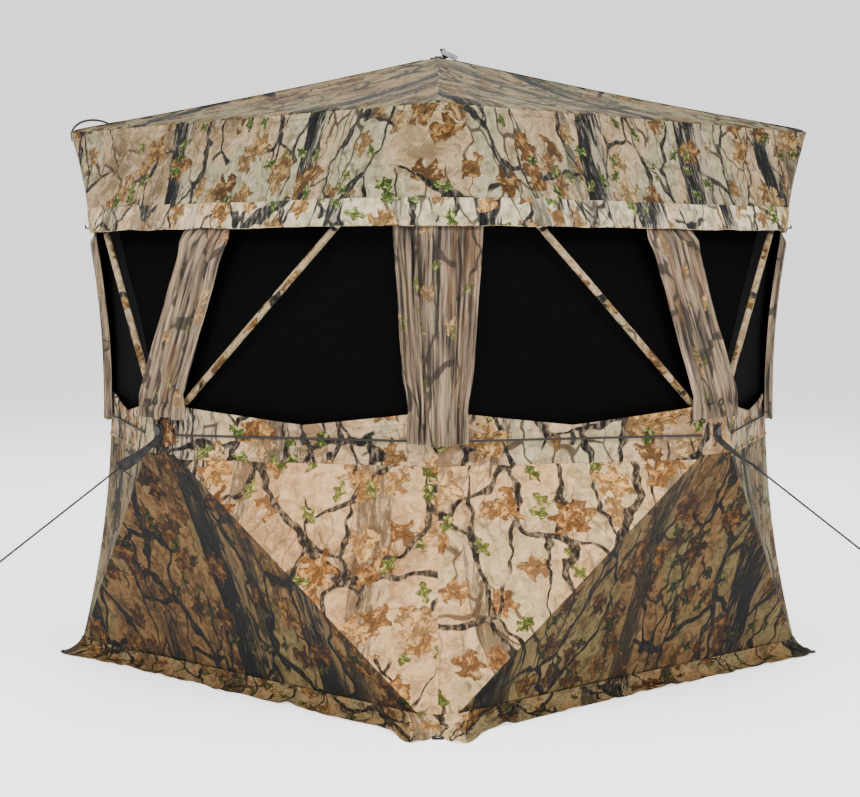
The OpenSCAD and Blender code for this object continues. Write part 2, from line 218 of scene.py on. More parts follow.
class Wire:
    """A shader value that arithmetic works on, so that a pattern reads as a formula."""

    def __init__(self, tree, socket):
        self.tree = tree
        self.socket = socket

    def math(self, operation, *others):
        node = self.tree.nodes.new("ShaderNodeMath")
        node.operation = operation
        for value, socket in zip((self, *others), node.inputs):
            plug(self.tree, value, socket)
        return Wire(self.tree, node.outputs[0])

    def __add__(self, other):
        return self.math("ADD", other)

    def __sub__(self, other):
        return self.math("SUBTRACT", other)

    def __mul__(self, other):
        return self.math("MULTIPLY", other)

    def __truediv__(self, other):
        return self.math("DIVIDE", other)

    def __rsub__(self, other):
        return (self * -1.0) + other

    __radd__ = __add__
    __rmul__ = __mul__

    def above(self, edge, soft):
        """0 below edge, 1 above it, over a width of soft."""
        node = self.tree.nodes.new("ShaderNodeMapRange")
        node.interpolation_type = "SMOOTHSTEP"
        plug(self.tree, self, node.inputs["Value"])
        plug(self.tree, edge, node.inputs["From Min"])
        plug(self.tree, edge + soft, node.inputs["From Max"])
        return Wire(self.tree, node.outputs["Result"])

    def below(self, edge, soft):
        return 1.0 - self.above(edge, soft)


def plug(tree, value, socket):
    """Wires a value into a socket, or sets it there."""
    if isinstance(value, Wire):
        tree.links.new(value.socket, socket)
    elif hasattr(value, "__len__") and len(value) == 3 and len(socket.default_value) == 4:
        socket.default_value = (*value, 1.0)
    else:
        socket.default_value = value


class Paint:
    """One material: its tree, its shader and the patterns that feed it."""

    def __init__(self, name, roughness, specular, metallic=0.0):
        self.material = bpy.data.materials.new(name)
        self.material.use_nodes = True
        self.tree = self.material.node_tree
        self.shader = self.tree.nodes["Principled BSDF"]
        self.set("Roughness", roughness)
        self.set("Metallic", metallic)
        self.set("Specular IOR Level", specular)

    def set(self, socket, value):
        plug(self.tree, value, self.shader.inputs[socket])

    def node(self, kind, **values):
        node = self.tree.nodes.new(kind)
        for key, value in values.items():
            plug(self.tree, value, node.inputs[key.replace("_", " ")])
        return node

    def split(self, kind, socket):
        """The three parts of a vector or of a colour."""
        node = self.tree.nodes.new(kind)
        self.tree.links.new(socket, node.inputs[0])
        return [Wire(self.tree, node.outputs[i]) for i in range(3)]

    def on_cloth(self):
        """The cloth's own flat coordinates in metres, as (u, v)."""
        place = self.node("ShaderNodeUVMap")
        place.uv_map = "cloth"
        self.u, self.v, _ = self.split("ShaderNodeSeparateXYZ", place.outputs[0])
        return self.u, self.v

    def on_solid(self):
        place = self.node("ShaderNodeTexCoord")
        self.x, self.y, self.z = self.split("ShaderNodeSeparateXYZ", place.outputs["Object"])
        return self.x, self.y, self.z

    def vector(self, x, y, z=0.0):
        return Wire(self.tree, self.node("ShaderNodeCombineXYZ", X=x, Y=y, Z=z).outputs[0])

    def noise(self, place, detail=3.0, rough=0.5, warp=0.0, scale=1.0):
        node = self.node("ShaderNodeTexNoise", Vector=place, Scale=scale, Detail=detail,
                         Roughness=rough, Distortion=warp)
        return Wire(self.tree, node.outputs["Fac"])

    def patches(self, across, along, seed=0.0, detail=3.0, rough=0.5, warp=0.0):
        """Noise over the cloth, with so many patches a metre across and along it."""
        return self.noise(self.vector(self.u * across, self.v * along, seed), detail, rough, warp)

    def lumps(self, across, up, detail=3.0, rough=0.5):
        """Noise through a solid, with so many lumps a metre across and up."""
        place = self.vector(self.x * across, self.y * across, self.z * up)
        return self.noise(place, detail, rough)

    def cells(self, place, feature="F1", random=1.0):
        node = self.tree.nodes.new("ShaderNodeTexVoronoi")
        node.feature = feature
        node.voronoi_dimensions = "2D"
        plug(self.tree, place, node.inputs["Vector"])
        node.inputs["Scale"].default_value = 1.0
        node.inputs["Randomness"].default_value = random
        return node

    def scattered(self, x, y, random=1.0):
        """Cells over the cloth: a cell's three random numbers, and the way from its centre."""
        cell = self.cells(self.vector(x, y), random=random)
        numbers = self.split("ShaderNodeSeparateColor", cell.outputs["Color"])
        centre = self.split("ShaderNodeSeparateXYZ", cell.outputs["Position"])
        return numbers, x - centre[0], y - centre[1]

    def blend(self, mask, under, over):
        node = self.tree.nodes.new("ShaderNodeMix")
        node.data_type = "RGBA"
        for value, place in ((mask, 0), (under, 6), (over, 7)):
            plug(self.tree, value, node.inputs[place])
        return Wire(self.tree, node.outputs[2])

    def ramp(self, value, stops):
        node = self.tree.nodes.new("ShaderNodeValToRGB")
        plug(self.tree, value, node.inputs[0])
        ends = node.color_ramp.elements
        for end, (place, colour) in zip(ends, (stops[0], stops[-1])):
            end.position, end.color = place, (*colour, 1)
        for place, colour in stops[1:-1]:
            ends.new(place).color = (*colour, 1)
        return Wire(self.tree, node.outputs[0])

    def tinted(self, colour, light, contrast):
        """The colour with more contrast, multiplied by a constant tint."""
        if contrast != 1.0:
            deeper = self.node("ShaderNodeGamma", Color=colour, Gamma=contrast)
            colour = Wire(self.tree, deeper.outputs[0])
        tint = self.node("ShaderNodeMix")
        tint.data_type, tint.blend_type = "RGBA", "MULTIPLY"
        for value, place in ((1.0, 0), (colour, 6), (light, 7)):
            plug(self.tree, value, tint.inputs[place])
        return Wire(self.tree, tint.outputs[2])

    def bump(self, height, depth, strength):
        node = self.node("ShaderNodeBump", Distance=depth, Strength=strength, Height=height)
        self.tree.links.new(node.outputs[0], self.shader.inputs["Normal"])

    def weave(self, pitch):
        """Height of a plain weave with this thread pitch in metres."""
        waves = 2 * math.pi / pitch
        return (self.u * waves).math("SINE") * (self.v * waves).math("SINE")


# ------------------------------ camouflage print

BARK_DARK = (0.012, 0.013, 0.015)
BARK_GREY = (0.15, 0.135, 0.115)
BARK_CREAM = (0.50, 0.40, 0.29)
OAK = [(0.0, (0.30, 0.155, 0.055)), (0.30, (0.50, 0.33, 0.155)), (0.52, (0.22, 0.115, 0.045)),
       (0.76, (0.40, 0.245, 0.105)), (1.0, (0.58, 0.42, 0.235))]
OAK_CURL = (0.72, 0.53, 0.28)
OAK_VEIN = (0.060, 0.034, 0.016)
GREENS = [(0.0, (0.085, 0.145, 0.035)), (0.5, (0.17, 0.25, 0.075)), (1.0, (0.26, 0.30, 0.11))]
CLOTH_ROUGH = 0.78
THREAD_PITCH = 0.0006
TRUNK_ROWS = 0.42                # rows of trunks a metre up the cloth


def leaves(paint, size, keep, seed, tones, slim, ragged):
    """Curled, lobed leaves scattered over the cloth: (mask, colour)."""
    tear, tear_up = (paint.patches(30, 30, seed + more, 3.0, 0.6) for more in (0, 5))
    u = paint.u + (tear - 0.5) * ragged
    v = paint.v + (tear_up - 0.5) * ragged
    spread = 1.0 / (size * 1.15)
    (pick, spin, hue), dx, dy = paint.scattered(u * spread + seed, v * spread + seed * 1.7)
    c, s = (spin * (2 * math.pi)).math("COSINE"), (spin * (2 * math.pi)).math("SINE")
    along = dx * c + dy * s
    aside = dy * c - dx * s
    t = (along / 0.88 + 0.5).math("MAXIMUM", 0.0).math("MINIMUM", 1.0)
    body = (t * math.pi).math("SINE")
    lobes = (t * 17.0 + hue * 5.0).math("COSINE") * 0.30 + 0.74
    reach = body * lobes * slim - aside.math("ABSOLUTE")
    crowd = paint.noise(paint.vector(u * 2.6 + seed, v * 2.6), 1.0)
    mask = reach.above(0.0, 0.03) * (pick + crowd * 0.9).above(1.45 - keep, 0.02)
    vein = aside.math("ABSOLUTE").below(0.010, 0.014)
    curl = paint.noise(paint.vector(along * 5.0 + seed, aside * 9.0, tear * 3.0), 3.0, 0.6)
    rim = reach.below(0.015, 0.05)
    dark = (vein * 0.6 + rim * 0.55 + curl.below(0.44, 0.10) * 0.75).math("MINIMUM", 1.0)
    tone = paint.blend(curl.above(0.54, 0.10) * 0.55, paint.ramp(hue, tones), OAK_CURL)
    return mask, paint.blend(dark * 0.78, tone, OAK_VEIN)


def trunk(paint, pitch, half, keep, seed):
    """Upright tree trunks with bark: (mask, bark colour)."""
    wobble = paint.patches(0.4, 1.3, seed, 2.0) * 0.16
    (pick, lean, fat), dx, dy = paint.scattered((paint.u + wobble) / pitch + seed,
                                                paint.v * TRUNK_ROWS + seed, 0.85)
    off = dx * pitch - (lean - 0.5) * (dy / TRUNK_ROWS) * 0.5
    rag = paint.patches(22, 14, seed) * 0.026
    reach = fat * half + half * 0.5 + rag - 0.013 - off.math("ABSOLUTE")
    mask = reach.above(0.0, 0.004) * pick.above(1.0 - keep, 0.01)
    fibre = paint.patches(120, 15, seed, 5.0, 0.68, 0.9)
    plate = paint.patches(26, 7, seed + 3, 3.0, 0.6)
    side = (off / half).above(-0.2, 1.2) * 0.10
    bark = paint.ramp(fibre * 0.66 + plate * 0.36 + side - 0.05, [
        (0.43, BARK_DARK), (0.478, (0.044, 0.042, 0.041)), (0.513, BARK_GREY), (0.575, BARK_CREAM)])
    return mask, bark


def twigs(paint, spread, thick, keep, seed, upright):
    """A net of bent branches, broken up so that it doesn't close: mask."""
    bend, bend_up = (paint.patches(4.2, 4.2, seed + more, 3.0, 0.6) * 0.20 for more in (0, 7))
    place = paint.vector((paint.u + bend) * spread + seed, (paint.v + bend_up) * spread * upright)
    gap = Wire(paint.tree, paint.cells(place, "DISTANCE_TO_EDGE").outputs["Distance"])
    swell = paint.patches(5.0, 5.0, seed + 2, 2.0)
    line = gap.below((swell - 0.28) * thick * spread * 2.6, 0.0022 * spread)
    return line * paint.patches(3.4, 3.4, seed + 11, 2.0).above(1.0 - keep, 0.03)


def finished_cloth(paint, colour, wear, light, contrast=1.0):
    """Tints a print, and gives its cloth a worn gloss, a weave and fine crumples."""
    paint.set("Base Color", paint.tinted(colour, light, contrast))
    paint.set("Roughness", wear * 0.18 + CLOTH_ROUGH - 0.09)
    crumple = paint.patches(24, 24, 1.0, 4.0, 0.55, 0.4)
    paint.bump(paint.weave(THREAD_PITCH) * 0.10 + crumple, 0.0030, 0.55)
    return paint.material


def camouflage(name, light, trunks, leafy=0.44, contrast=1.0):
    """Printed cloth: washed background, trunks, branches, twigs and leaves."""
    paint = Paint(name, roughness=CLOTH_ROUGH, specular=0.10)
    paint.on_cloth()
    colour = paint.ramp(paint.patches(2.6, 1.7, 0.0, 4.0, 0.6, 0.7), [
        (0.34, (0.30, 0.21, 0.13)), (0.43, (0.47, 0.335, 0.205)), (0.50, (0.58, 0.425, 0.275)),
        (0.57, (0.46, 0.405, 0.27)), (0.68, (0.60, 0.50, 0.355))])
    grain = paint.patches(60, 18, 2.0, 5.0, 0.7, 0.5)
    mottle = paint.patches(26, 30, 5.0, 5.0, 0.72, 1.2)
    far_mask, far_bark = trunk(paint, 0.30, 0.034, 0.50, 3.3)
    mask, bark = trunk(paint, 0.50, 0.050, trunks, 8.4)
    rind = paint.patches(90, 40, 3.0, 4.0, 0.65)
    limb = paint.ramp(rind, [(0.40, (0.022, 0.020, 0.019)), (0.52, (0.075, 0.064, 0.054)),
                             (0.62, (0.25, 0.205, 0.155))])
    low_mask, low_leaf = leaves(paint, 0.085, leafy, 2.7, OAK, 0.40, 0.045)
    # from the cloth's ground up to the leaves nearest to the eye
    for layer, over in (
            (grain.above(0.46, 0.20) * 0.42, (0.27, 0.20, 0.125)),
            (mottle.above(0.545, 0.03) * 0.45, (0.21, 0.15, 0.09)),
            (mottle.below(0.43, 0.03) * 0.40, (0.72, 0.60, 0.45)),
            (far_mask * 0.62, far_bark),
            (twigs(paint, 15.0, 0.0030, 0.46, 6.7, 0.42) * 0.80, (0.085, 0.062, 0.042)),
            (twigs(paint, 27.0, 0.0016, 0.46, 2.2, 0.30) * 0.45, (0.10, 0.075, 0.050)),
            (low_mask * 0.90, low_leaf),
            (mask, bark),
            (twigs(paint, 3.4, 0.0090, 0.60, 4.4, 0.38), limb),
            (twigs(paint, 7.0, 0.0055, 0.58, 1.9, 0.55), limb),
            leaves(paint, 0.105, leafy * 0.86, 9.2, OAK, 0.42, 0.055),
            leaves(paint, 0.060, leafy * 0.62, 5.6, GREENS, 0.26, 0.010)):
        colour = paint.blend(layer, colour, over)
    paint.set("Sheen Weight", 0.03)
    paint.set("Sheen Roughness", 0.5)
    return finished_cloth(paint, colour, paint.patches(9, 9, 2.0), light, contrast)


def bark_cloth(name, light):
    """Printed cloth that shows mostly bark: fine upright streaks, a few twigs and brown leaves."""
    paint = Paint(name, roughness=CLOTH_ROUGH, specular=0.18)
    u, v = paint.on_cloth()
    u = u + paint.patches(6, 2.2, 4.0, 2.0) * 0.05
    fibre = paint.noise(paint.vector(u * 95, v * 6, 1.0), 5.0, 0.66, 0.5)
    plate = paint.noise(paint.vector(u * 24, v * 3.0, 7.0), 3.0, 0.6)
    colour = paint.ramp(fibre * 0.60 + plate * 0.42, [
        (0.415, (0.020, 0.019, 0.018)), (0.465, (0.085, 0.072, 0.060)), (0.515, (0.215, 0.170, 0.128)),
        (0.565, (0.335, 0.270, 0.200)), (0.64, (0.52, 0.43, 0.33))])
    mask, leaf = leaves(paint, 0.070, 0.30, 7.4, OAK, 0.36, 0.045)
    green_mask, green_leaf = leaves(paint, 0.050, 0.20, 3.1, GREENS, 0.26, 0.010)
    for layer, over in (
            (paint.patches(9, 4, 9.0).above(0.55, 0.08) * 0.35, (0.24, 0.125, 0.055)),
            (twigs(paint, 9.0, 0.0050, 0.60, 2.6, 0.40) * 0.85, (0.035, 0.031, 0.028)),
            (mask * 0.75, leaf),
            (green_mask * 0.8, green_leaf)):
        colour = paint.blend(layer, colour, over)
    return finished_cloth(paint, colour, fibre, light)


# ------------------------------ other finishes


def lighter(colour, times, more):
    return [min(1.0, c * times + more) for c in colour]


def webbing(name, colour, thread=0.0013, bright=0.35, rough=0.7):
    """Woven tape: ribs along it, crossed by fine threads."""
    paint = Paint(name, roughness=rough, specular=0.25)
    x, y, z = paint.on_solid()
    ribs = ((x + y) * (2 * math.pi / thread)).math("SINE")
    cross = (z * (2 * math.pi / (thread * 0.7))).math("SINE")
    worn = paint.lumps(60, 60, 4.0)
    paint.set("Base Color", paint.blend(worn.above(0.42, 0.3) * 0.6 + ribs * 0.08, colour,
                                        lighter(colour, 1, bright * 0.10)))
    paint.set("Roughness", worn * 0.2 + rough - 0.1)
    paint.bump(ribs * cross + worn * 0.5, 0.0004, 0.8)
    return paint.material


def moulded(name, colour, rough, grain, metallic=0.0, scratch=0.25):
    """Moulded plastic or metal with a fine grain, dust and scuffs."""
    paint = Paint(name, roughness=rough, specular=0.4, metallic=metallic)
    fine = paint.noise(paint.vector(*paint.on_solid()), 2.0, scale=grain)
    scuff = paint.lumps(40, 160, 5.0, 0.7)
    dust = paint.lumps(14, 14, 4.0)
    paint.set("Base Color", paint.blend(scuff.above(0.56, 0.12) * scratch + dust.above(0.5, 0.3) * 0.12,
                                        colour, lighter(colour, 1.6, 0.03)))
    paint.set("Roughness", scuff * 0.22 + dust * 0.12 + rough - 0.17)
    paint.bump(fine * 0.3 + scuff * 0.7, 0.0003, 0.6)
    return paint.material


def netting(name):
    """Black window mesh: a fine open weave that reads as black."""
    paint = Paint(name, roughness=0.95, specular=0.03)
    paint.on_cloth()
    holes = paint.weave(0.0016)
    paint.set("Base Color", paint.blend(holes.above(0.2, 0.5), (0.0012, 0.0012, 0.0013),
                                        (0.0035, 0.0035, 0.0036)))
    paint.bump(holes, 0.0003, 0.4)
    return paint.material


def rope_stuff(name, colour):
    """Braided cord: slanting strands."""
    paint = Paint(name, roughness=0.65, specular=0.3)
    x, y, z = paint.on_solid()
    strand = ((x + y) * 900 + z * 1500).math("SINE") * ((x + y) * 900 - z * 1500).math("SINE")
    lint = paint.lumps(300, 300)
    paint.set("Base Color", paint.blend(strand.above(0.0, 0.6) * 0.5 + lint * 0.2, colour,
                                        lighter(colour, 2.2, 0.01)))
    paint.bump(strand, 0.0006, 0.8)
    return paint.material


def fibreglass(name):
    """Pultruded rod: fibres along it, under a thin gloss."""
    paint = Paint(name, roughness=0.35, specular=0.5)
    x, y, z = paint.on_solid()
    fibre = paint.noise(paint.vector((x + y) * 900, (x - y) * 900, z * 60))
    paint.set("Base Color", paint.blend(fibre, (0.50, 0.45, 0.30), (0.30, 0.26, 0.16)))
    paint.set("Roughness", fibre * 0.2 + 0.25)
    paint.bump(fibre, 0.0002, 0.5)
    return paint.material


def paper(name, colour, glow):
    """Plain studio paper that glows a little, so that it stays pale."""
    paint = Paint(name, roughness=0.9, specular=0.2)
    paint.on_solid()
    paint.set("Base Color", paint.blend(paint.lumps(2, 2) * 0.02, colour, lighter(colour, 0.97, 0)))
    paint.set("Emission Color", (1.0, 1.0, 1.0, 1.0))
    paint.set("Emission Strength", glow)
    return paint.material


# ------------------------------ meshes

WELD = 2e-5                      # points nearer than this become one


def grid_part(point, us, vs, uv, material=0, ring=False):
    """Rows of (point, uv) over us by vs, for build(); a ring joins its last column to its first."""
    return [[(point(u, v), uv(u, v)) for u in us] for v in vs], material, ring


def build(name, parts, materials):
    """One smooth mesh from grid parts, with a UV map named cloth that holds flat metres."""
    mesh = bpy.data.meshes.new(name)
    bm = bmesh.new()
    layer = bm.loops.layers.uv.new("cloth")
    for rows, material, ring in parts:
        grid = [[bm.verts.new(p) for p, _ in row] for row in rows]
        count = len(rows[0])
        for i in range(len(rows) - 1):
            for j in range(count if ring else count - 1):
                k = (j + 1) % count
                corners = (i, j), (i, k), (i + 1, k), (i + 1, j)
                face = bm.faces.new([grid[a][b] for a, b in corners])
                face.material_index = material
                face.smooth = True
                for loop, (a, b) in zip(face.loops, corners):
                    loop[layer].uv = rows[a][b][1]
    bmesh.ops.remove_doubles(bm, verts=bm.verts, dist=WELD)
    bmesh.ops.dissolve_degenerate(bm, edges=bm.edges, dist=1e-6)
    loose = [v for v in bm.verts if not v.link_faces]
    bmesh.ops.delete(bm, geom=loose, context="VERTS")
    bm.to_mesh(mesh)
    bm.free()
    for material in materials:
        mesh.materials.append(material)
    piece = bpy.data.objects.new(name, mesh)
    bpy.context.scene.collection.objects.link(piece)
    return piece


def steps(a, b, count):
    return [mix(a, b, i / count) for i in range(count + 1)]


def closed(rows, first, last):
    """A tube of rows, drawn together to a point at each end."""
    caps = [[(first, uv) for _, uv in rows[0]], rows[0]], [rows[-1], [(last, uv) for _, uv in rows[-1]]]
    return [(part, 0, True) for part in (rows, *caps)]


def way_at(points, i):
    return (points[min(i + 1, len(points) - 1)] - points[max(i - 1, 0)]).normalized()


def tube_parts(points, radius, sides=8):
    """A capped tube along points; radius is a number or a function of the share of its length."""
    size = radius if callable(radius) else (lambda t: radius)
    points = [Vector(p) for p in points]
    lengths = [0.0]
    for a, b in zip(points, points[1:]):
        lengths.append(lengths[-1] + (b - a).length)
    rows = []
    way = way_at(points, 0)
    side = way.cross(Vector((0, 0, 1)) if abs(way.z) < 0.9 else Vector((1, 0, 0)))
    for i, p in enumerate(points):
        way = way_at(points, i)
        side = (side - way * side.dot(way)).normalized()
        up = way.cross(side)
        r = size(lengths[i] / lengths[-1])
        turns = [2 * math.pi * k / sides for k in range(sides)]
        rows.append([(p + side * (r * math.cos(a)) + up * (r * math.sin(a)),
                      (k / sides * 2 * math.pi * r, lengths[i])) for k, a in enumerate(turns)])
    return closed(rows, points[0], points[-1])


def band_parts(points, across, width, thick):
    """A flat strap along points: across gives the direction of its width at each point."""
    points = [Vector(p) for p in points]
    w, t = width / 2, thick / 2
    soft_w, soft_t = w * 0.93, t * 0.4           # the strap's rounded edges
    ring = [(-w, -soft_t), (-soft_w, -t), (0, -t), (soft_w, -t), (w, -soft_t),
            (w, soft_t), (soft_w, t), (0, t), (-soft_w, t), (-w, soft_t)]
    rows, run = [], 0.0
    for i, p in enumerate(points):
        way = way_at(points, i)
        side = Vector(across(i) if callable(across) else across)
        side = (side - way * side.dot(way)).normalized()
        face = way.cross(side)
        if i:
            run += (p - points[i - 1]).length
        rows.append([(p + side * a + face * b, (a, run)) for a, b in ring])
    return closed(rows, points[0], points[-1])


def box_parts(centre, size, axes):
    """A block with softened edges; axes are its three unit directions."""
    ax, ay, az = (Vector(axis) * (length / 2) for axis, length in zip(axes, size))
    centre = Vector(centre)
    rows = []
    for share, grow in ((-1, 0.85), (-0.85, 1), (0.85, 1), (1, 0.85)):
        ring = []
        for k in range(16):
            a = 2 * math.pi * (k + 0.5) / 16
            c, s = math.cos(a), math.sin(a)
            m = (abs(c) ** 8 + abs(s) ** 8) ** (-1 / 8) * grow
            ring.append((centre + ax * (c * m) + ay * (s * m) + az * share, (c * m, s * m)))
        rows.append(ring)
    return closed(rows, centre - az, centre + az)


def ring_parts(centre, normal, radius, thick, sides=24):
    """A torus."""
    normal = Vector(normal).normalized()
    a = normal.orthogonal().normalized()
    b = normal.cross(a)
    points = [Vector(centre) + (a * math.cos(t) + b * math.sin(t)) * radius
              for t in steps(0, 2 * math.pi, sides)]
    return tube_parts(points, thick)


def named(piece, slot, *nodes):
    """The piece takes a slot's finish and stands for CAD nodes."""
    # Hides the CAD nodes that the piece stands for; slot is not used.
    if nodes:
        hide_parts(*nodes)


def put(name, parts, material, body, slot, *nodes):
    """Builds a piece that rides on a body."""
    piece = build(name, parts, [material])
    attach(piece, body)
    named(piece, slot, *nodes)
    return piece


def follow(piece, wall, x, z):
    """Cloth and rods by a wall: bakes the piece's transform into its mesh; the ends at (x, z) and at the
    hub's middle are worked out but not used.
    """
    ends = [turn((at_x, -HUB_OUT, at_z), WALLS[wall]) for at_x, at_z in ((x, z), (0, HUB_Z))]
    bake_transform(piece)


def follow_side(piece, wall, side):
    follow(piece, wall, side * STILL_X, HUB_Z)


def follow_height(piece, wall, still):
    follow(piece, wall, 0, still)


def follow_roof(piece, start):
    """Roof cloth and rods: bakes the piece's transform into its mesh; start is not used."""
    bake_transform(piece)


# ------------------------------ camera and ropes come first

CAMERA_DISTANCE = 5.77
CAMERA_HEIGHT = 1.109
LENS = 84.056                    # focal length and sensor width in millimetres
SENSOR = 36
PITCH = 3.69
YAW = 0.23


def make_camera():
    """A view of the front-right corner from eye level, with a long lens."""
    data = bpy.data.cameras.new("camera")
    data.sensor_width = SENSOR
    data.lens = LENS
    camera = bpy.data.objects.new("camera", data)
    bpy.context.scene.collection.objects.link(camera)
    away = CAMERA_DISTANCE / math.sqrt(2)
    camera.location = (away, -away, CAMERA_HEIGHT)
    camera.rotation_euler = (math.radians(90 - PITCH), 0, math.radians(45 + YAW))
    bpy.context.scene.camera = camera


ROPE_START = Vector((0, -1.125, 0.613))
ROPE_END = Vector((0, -1.496, 0.401))
ROPE_R = 0.0025


def guy_rope(wall):
    """A taut braided rope from the end of the pull strap to its knot, just outside the view."""
    hub, name = "hub_" + wall, f"guy_rope_{wall}_"
    way = (ROPE_END - ROPE_START).normalized()
    side = Vector((1, 0, 0))
    up = way.cross(side)

    def line(root, shape, stops):
        """Points from the root, each given by its places along side, up and the rope's way."""
        places = [shape(t) for t in stops]
        return [turn(root + side * a + up * b + way * c, WALLS[wall]) for a, b, c in places]

    def trefoil(t):
        r = 0.0046 + 0.0016 * math.cos(3 * t)
        return r * math.cos(2 * t), r * math.sin(2 * t), 0.0042 * math.sin(3 * t)

    def tail(i):
        return 0.0008 * i, -0.0006 * i * i, 0.001 + 0.005 * i

    def eye(t):
        return 0.0065 * math.cos(t), 0.002 * math.sin(2 * t), 0.007 * math.sin(t) - 0.004

    def hitch_tail(i):
        return 0.004 + 0.007 * i, -0.0009 * i * i, 0.002 - 0.0006 * i

    path = [turn(p, WALLS[wall]) for p in steps(ROPE_START, ROPE_END, 24)]
    rope = put(name + "line", tube_parts(path, ROPE_R, 10), ROPE, hub, "cord", "guy_rope_" + wall)
    knot = tube_parts(line(ROPE_END, trefoil, steps(0, 2 * math.pi, 60)), 0.0020)
    knot += tube_parts(line(ROPE_END, tail, range(6)), ROPE_R)
    knot = put(name + "knot", knot, ROPE, hub, "cord")
    # the rope is tied to the strap's end by a small loop
    hitch = tube_parts(line(ROPE_START, eye, steps(0, 2 * math.pi, 32)), 0.0022)
    hitch += tube_parts(line(ROPE_START, hitch_tail, range(6)), 0.0020)
    put(name + "hitch", hitch, ROPE, hub, "cord")


make_camera()
ROPE = rope_stuff("guy_rope_braid", (0.012, 0.012, 0.011))
for rope_wall in ("front", "right"):
    guy_rope(rope_wall)

# ------------------------------ cloth

CAMO = camouflage("camouflage_wall", (1.03, 0.885, 0.71), trunks=0.36, contrast=1.22)
# A copy of the wall print darkened with painted shade, and with more trunks, for the side panels away
# from the front-right corner.
CAMO_PAINTED_SHADE = camouflage("camouflage_painted_shade", (0.44, 0.48, 0.44), trunks=0.66, contrast=1.5)
CAMO_BAND = camouflage("camouflage_band", (0.92, 0.92, 0.92), trunks=0.62, contrast=1.4)
# A copy of the print darkened with painted shade, with more trunks, leaves and contrast, for the foot of
# each wall, which faces down.
CAMO_FOOT_PAINTED_SHADE = camouflage("camouflage_foot_painted_shade", (0.385, 0.385, 0.29), trunks=0.60, leafy=0.52, contrast=2.1)
CAMO_SKIRT = camouflage("camouflage_skirt", (0.46, 0.43, 0.34), trunks=0.60, leafy=0.40, contrast=1.5)
CAMO_ROOF = camouflage("camouflage_roof", (0.455, 0.51, 0.485), trunks=0.84, contrast=1.6)
CAMO_VALANCE = camouflage("camouflage_valance", (0.70, 0.79, 0.84), trunks=0.76, contrast=1.5)
CAMO_PALE = camouflage("camouflage_hem", (1.12, 1.24, 1.34), trunks=0.60, leafy=0.34, contrast=1.4)
CAMO_CURTAIN = bark_cloth("curtain_bark", (0.69, 0.63, 0.56))
MESH = netting("window_netting")
WEBBING = webbing("black_webbing", (0.014, 0.014, 0.013))
POCKET = webbing("pocket_cloth", (0.045, 0.044, 0.038), thread=0.0009)


def above(place):
    """The strip above the seam is cut from another part of the printed cloth."""
    return place[0] + 5.2, place[1] + 0.7


def cut_of(wall):
    """A wall's angle, the seed of its creases and where it lies on the printed cloth."""
    angle = WALLS[wall]
    return angle, angle * 0.11 + 3, angle / 90 * 2.13 + 0.4


def seam_lift(z):
    return 0.0006 + 0.0016 * math.sin(math.pi * clamp((z - SEAM_Z) / SEAM_ROLL))


def wall_cloth(wall, side, materials):
    """The part of a lower wall beside its hub: from the rod's crease to the corner seam."""
    angle, seed, u0 = cut_of(wall)

    def across_at(s, z):
        return side * mix(crease_x(z), corner_at(z), s)

    def place(s, z, lift=0.0):
        x = across_at(s, z)
        return wall_point(x, z, slack(x, z, seed) + lift, angle)

    def flat(s, z):
        return u0 + across_at(s, z), z

    def top(s):
        return sill_height(across_at(s, SILL))

    def band_z(s, t):
        return mix(BAND_Z, top(s), t)

    def hem_z(s, t):
        return top(s) - SILL_HEM * (1 - t)

    across = steps(0, 1, 36) if side > 0 else steps(1, 0, 36)
    parts = [
        grid_part(place, across, steps(0.004, BAND_Z, 56), flat),
        grid_part(lambda s, t: place(s, band_z(s, t)), across, steps(0, 1, 18),
                  lambda s, t: above(flat(s, band_z(s, t))), 1),
        grid_part(lambda s, z: place(s, z, seam_lift(z)), across,
                  steps(SEAM_Z, SEAM_Z + SEAM_ROLL, 4), lambda s, z: above(flat(s, z)), 1),
        grid_part(lambda s, t: place(s, hem_z(s, t), 0.0012 + 0.0016 * math.sin(math.pi * t)),
                  across, steps(0, 1, 5), lambda s, t: above(flat(s, hem_z(s, t))), 1)]
    piece = build(f"lower_wall_{wall}_{SIDES[side]}_side", parts, materials)
    follow_side(piece, wall, side)
    named(piece, "camouflage_cloth", "lower_wall_" + wall)


def wall_foot(wall, materials):
    """The part of a lower wall between its lower rods, from the ground up to the hub and the sill."""
    angle, seed, u0 = cut_of(wall)

    def place(a, z, lift=0.0):
        x = a * crease_x(z)
        return wall_point(x, z, slack(x, z, seed) + lift, angle)

    def flat(a, z):
        return u0 + a * crease_x(z), z

    across = steps(-1, 1, 72)
    parts = [
        grid_part(place, across, steps(0.0, BAND_Z, 58), flat),
        grid_part(place, across, steps(BAND_Z, SILL, 16), lambda a, z: above(flat(a, z)), 1),
        grid_part(lambda a, z: place(a, z, seam_lift(z)), steps(-1, 1, 12),
                  steps(SEAM_Z, SEAM_Z + SEAM_ROLL, 4), flat)]
    piece = build(f"lower_wall_{wall}_foot", parts, materials)
    follow_height(piece, wall, STILL_FOOT)
    named(piece, "camouflage_cloth", "lower_wall_" + wall)


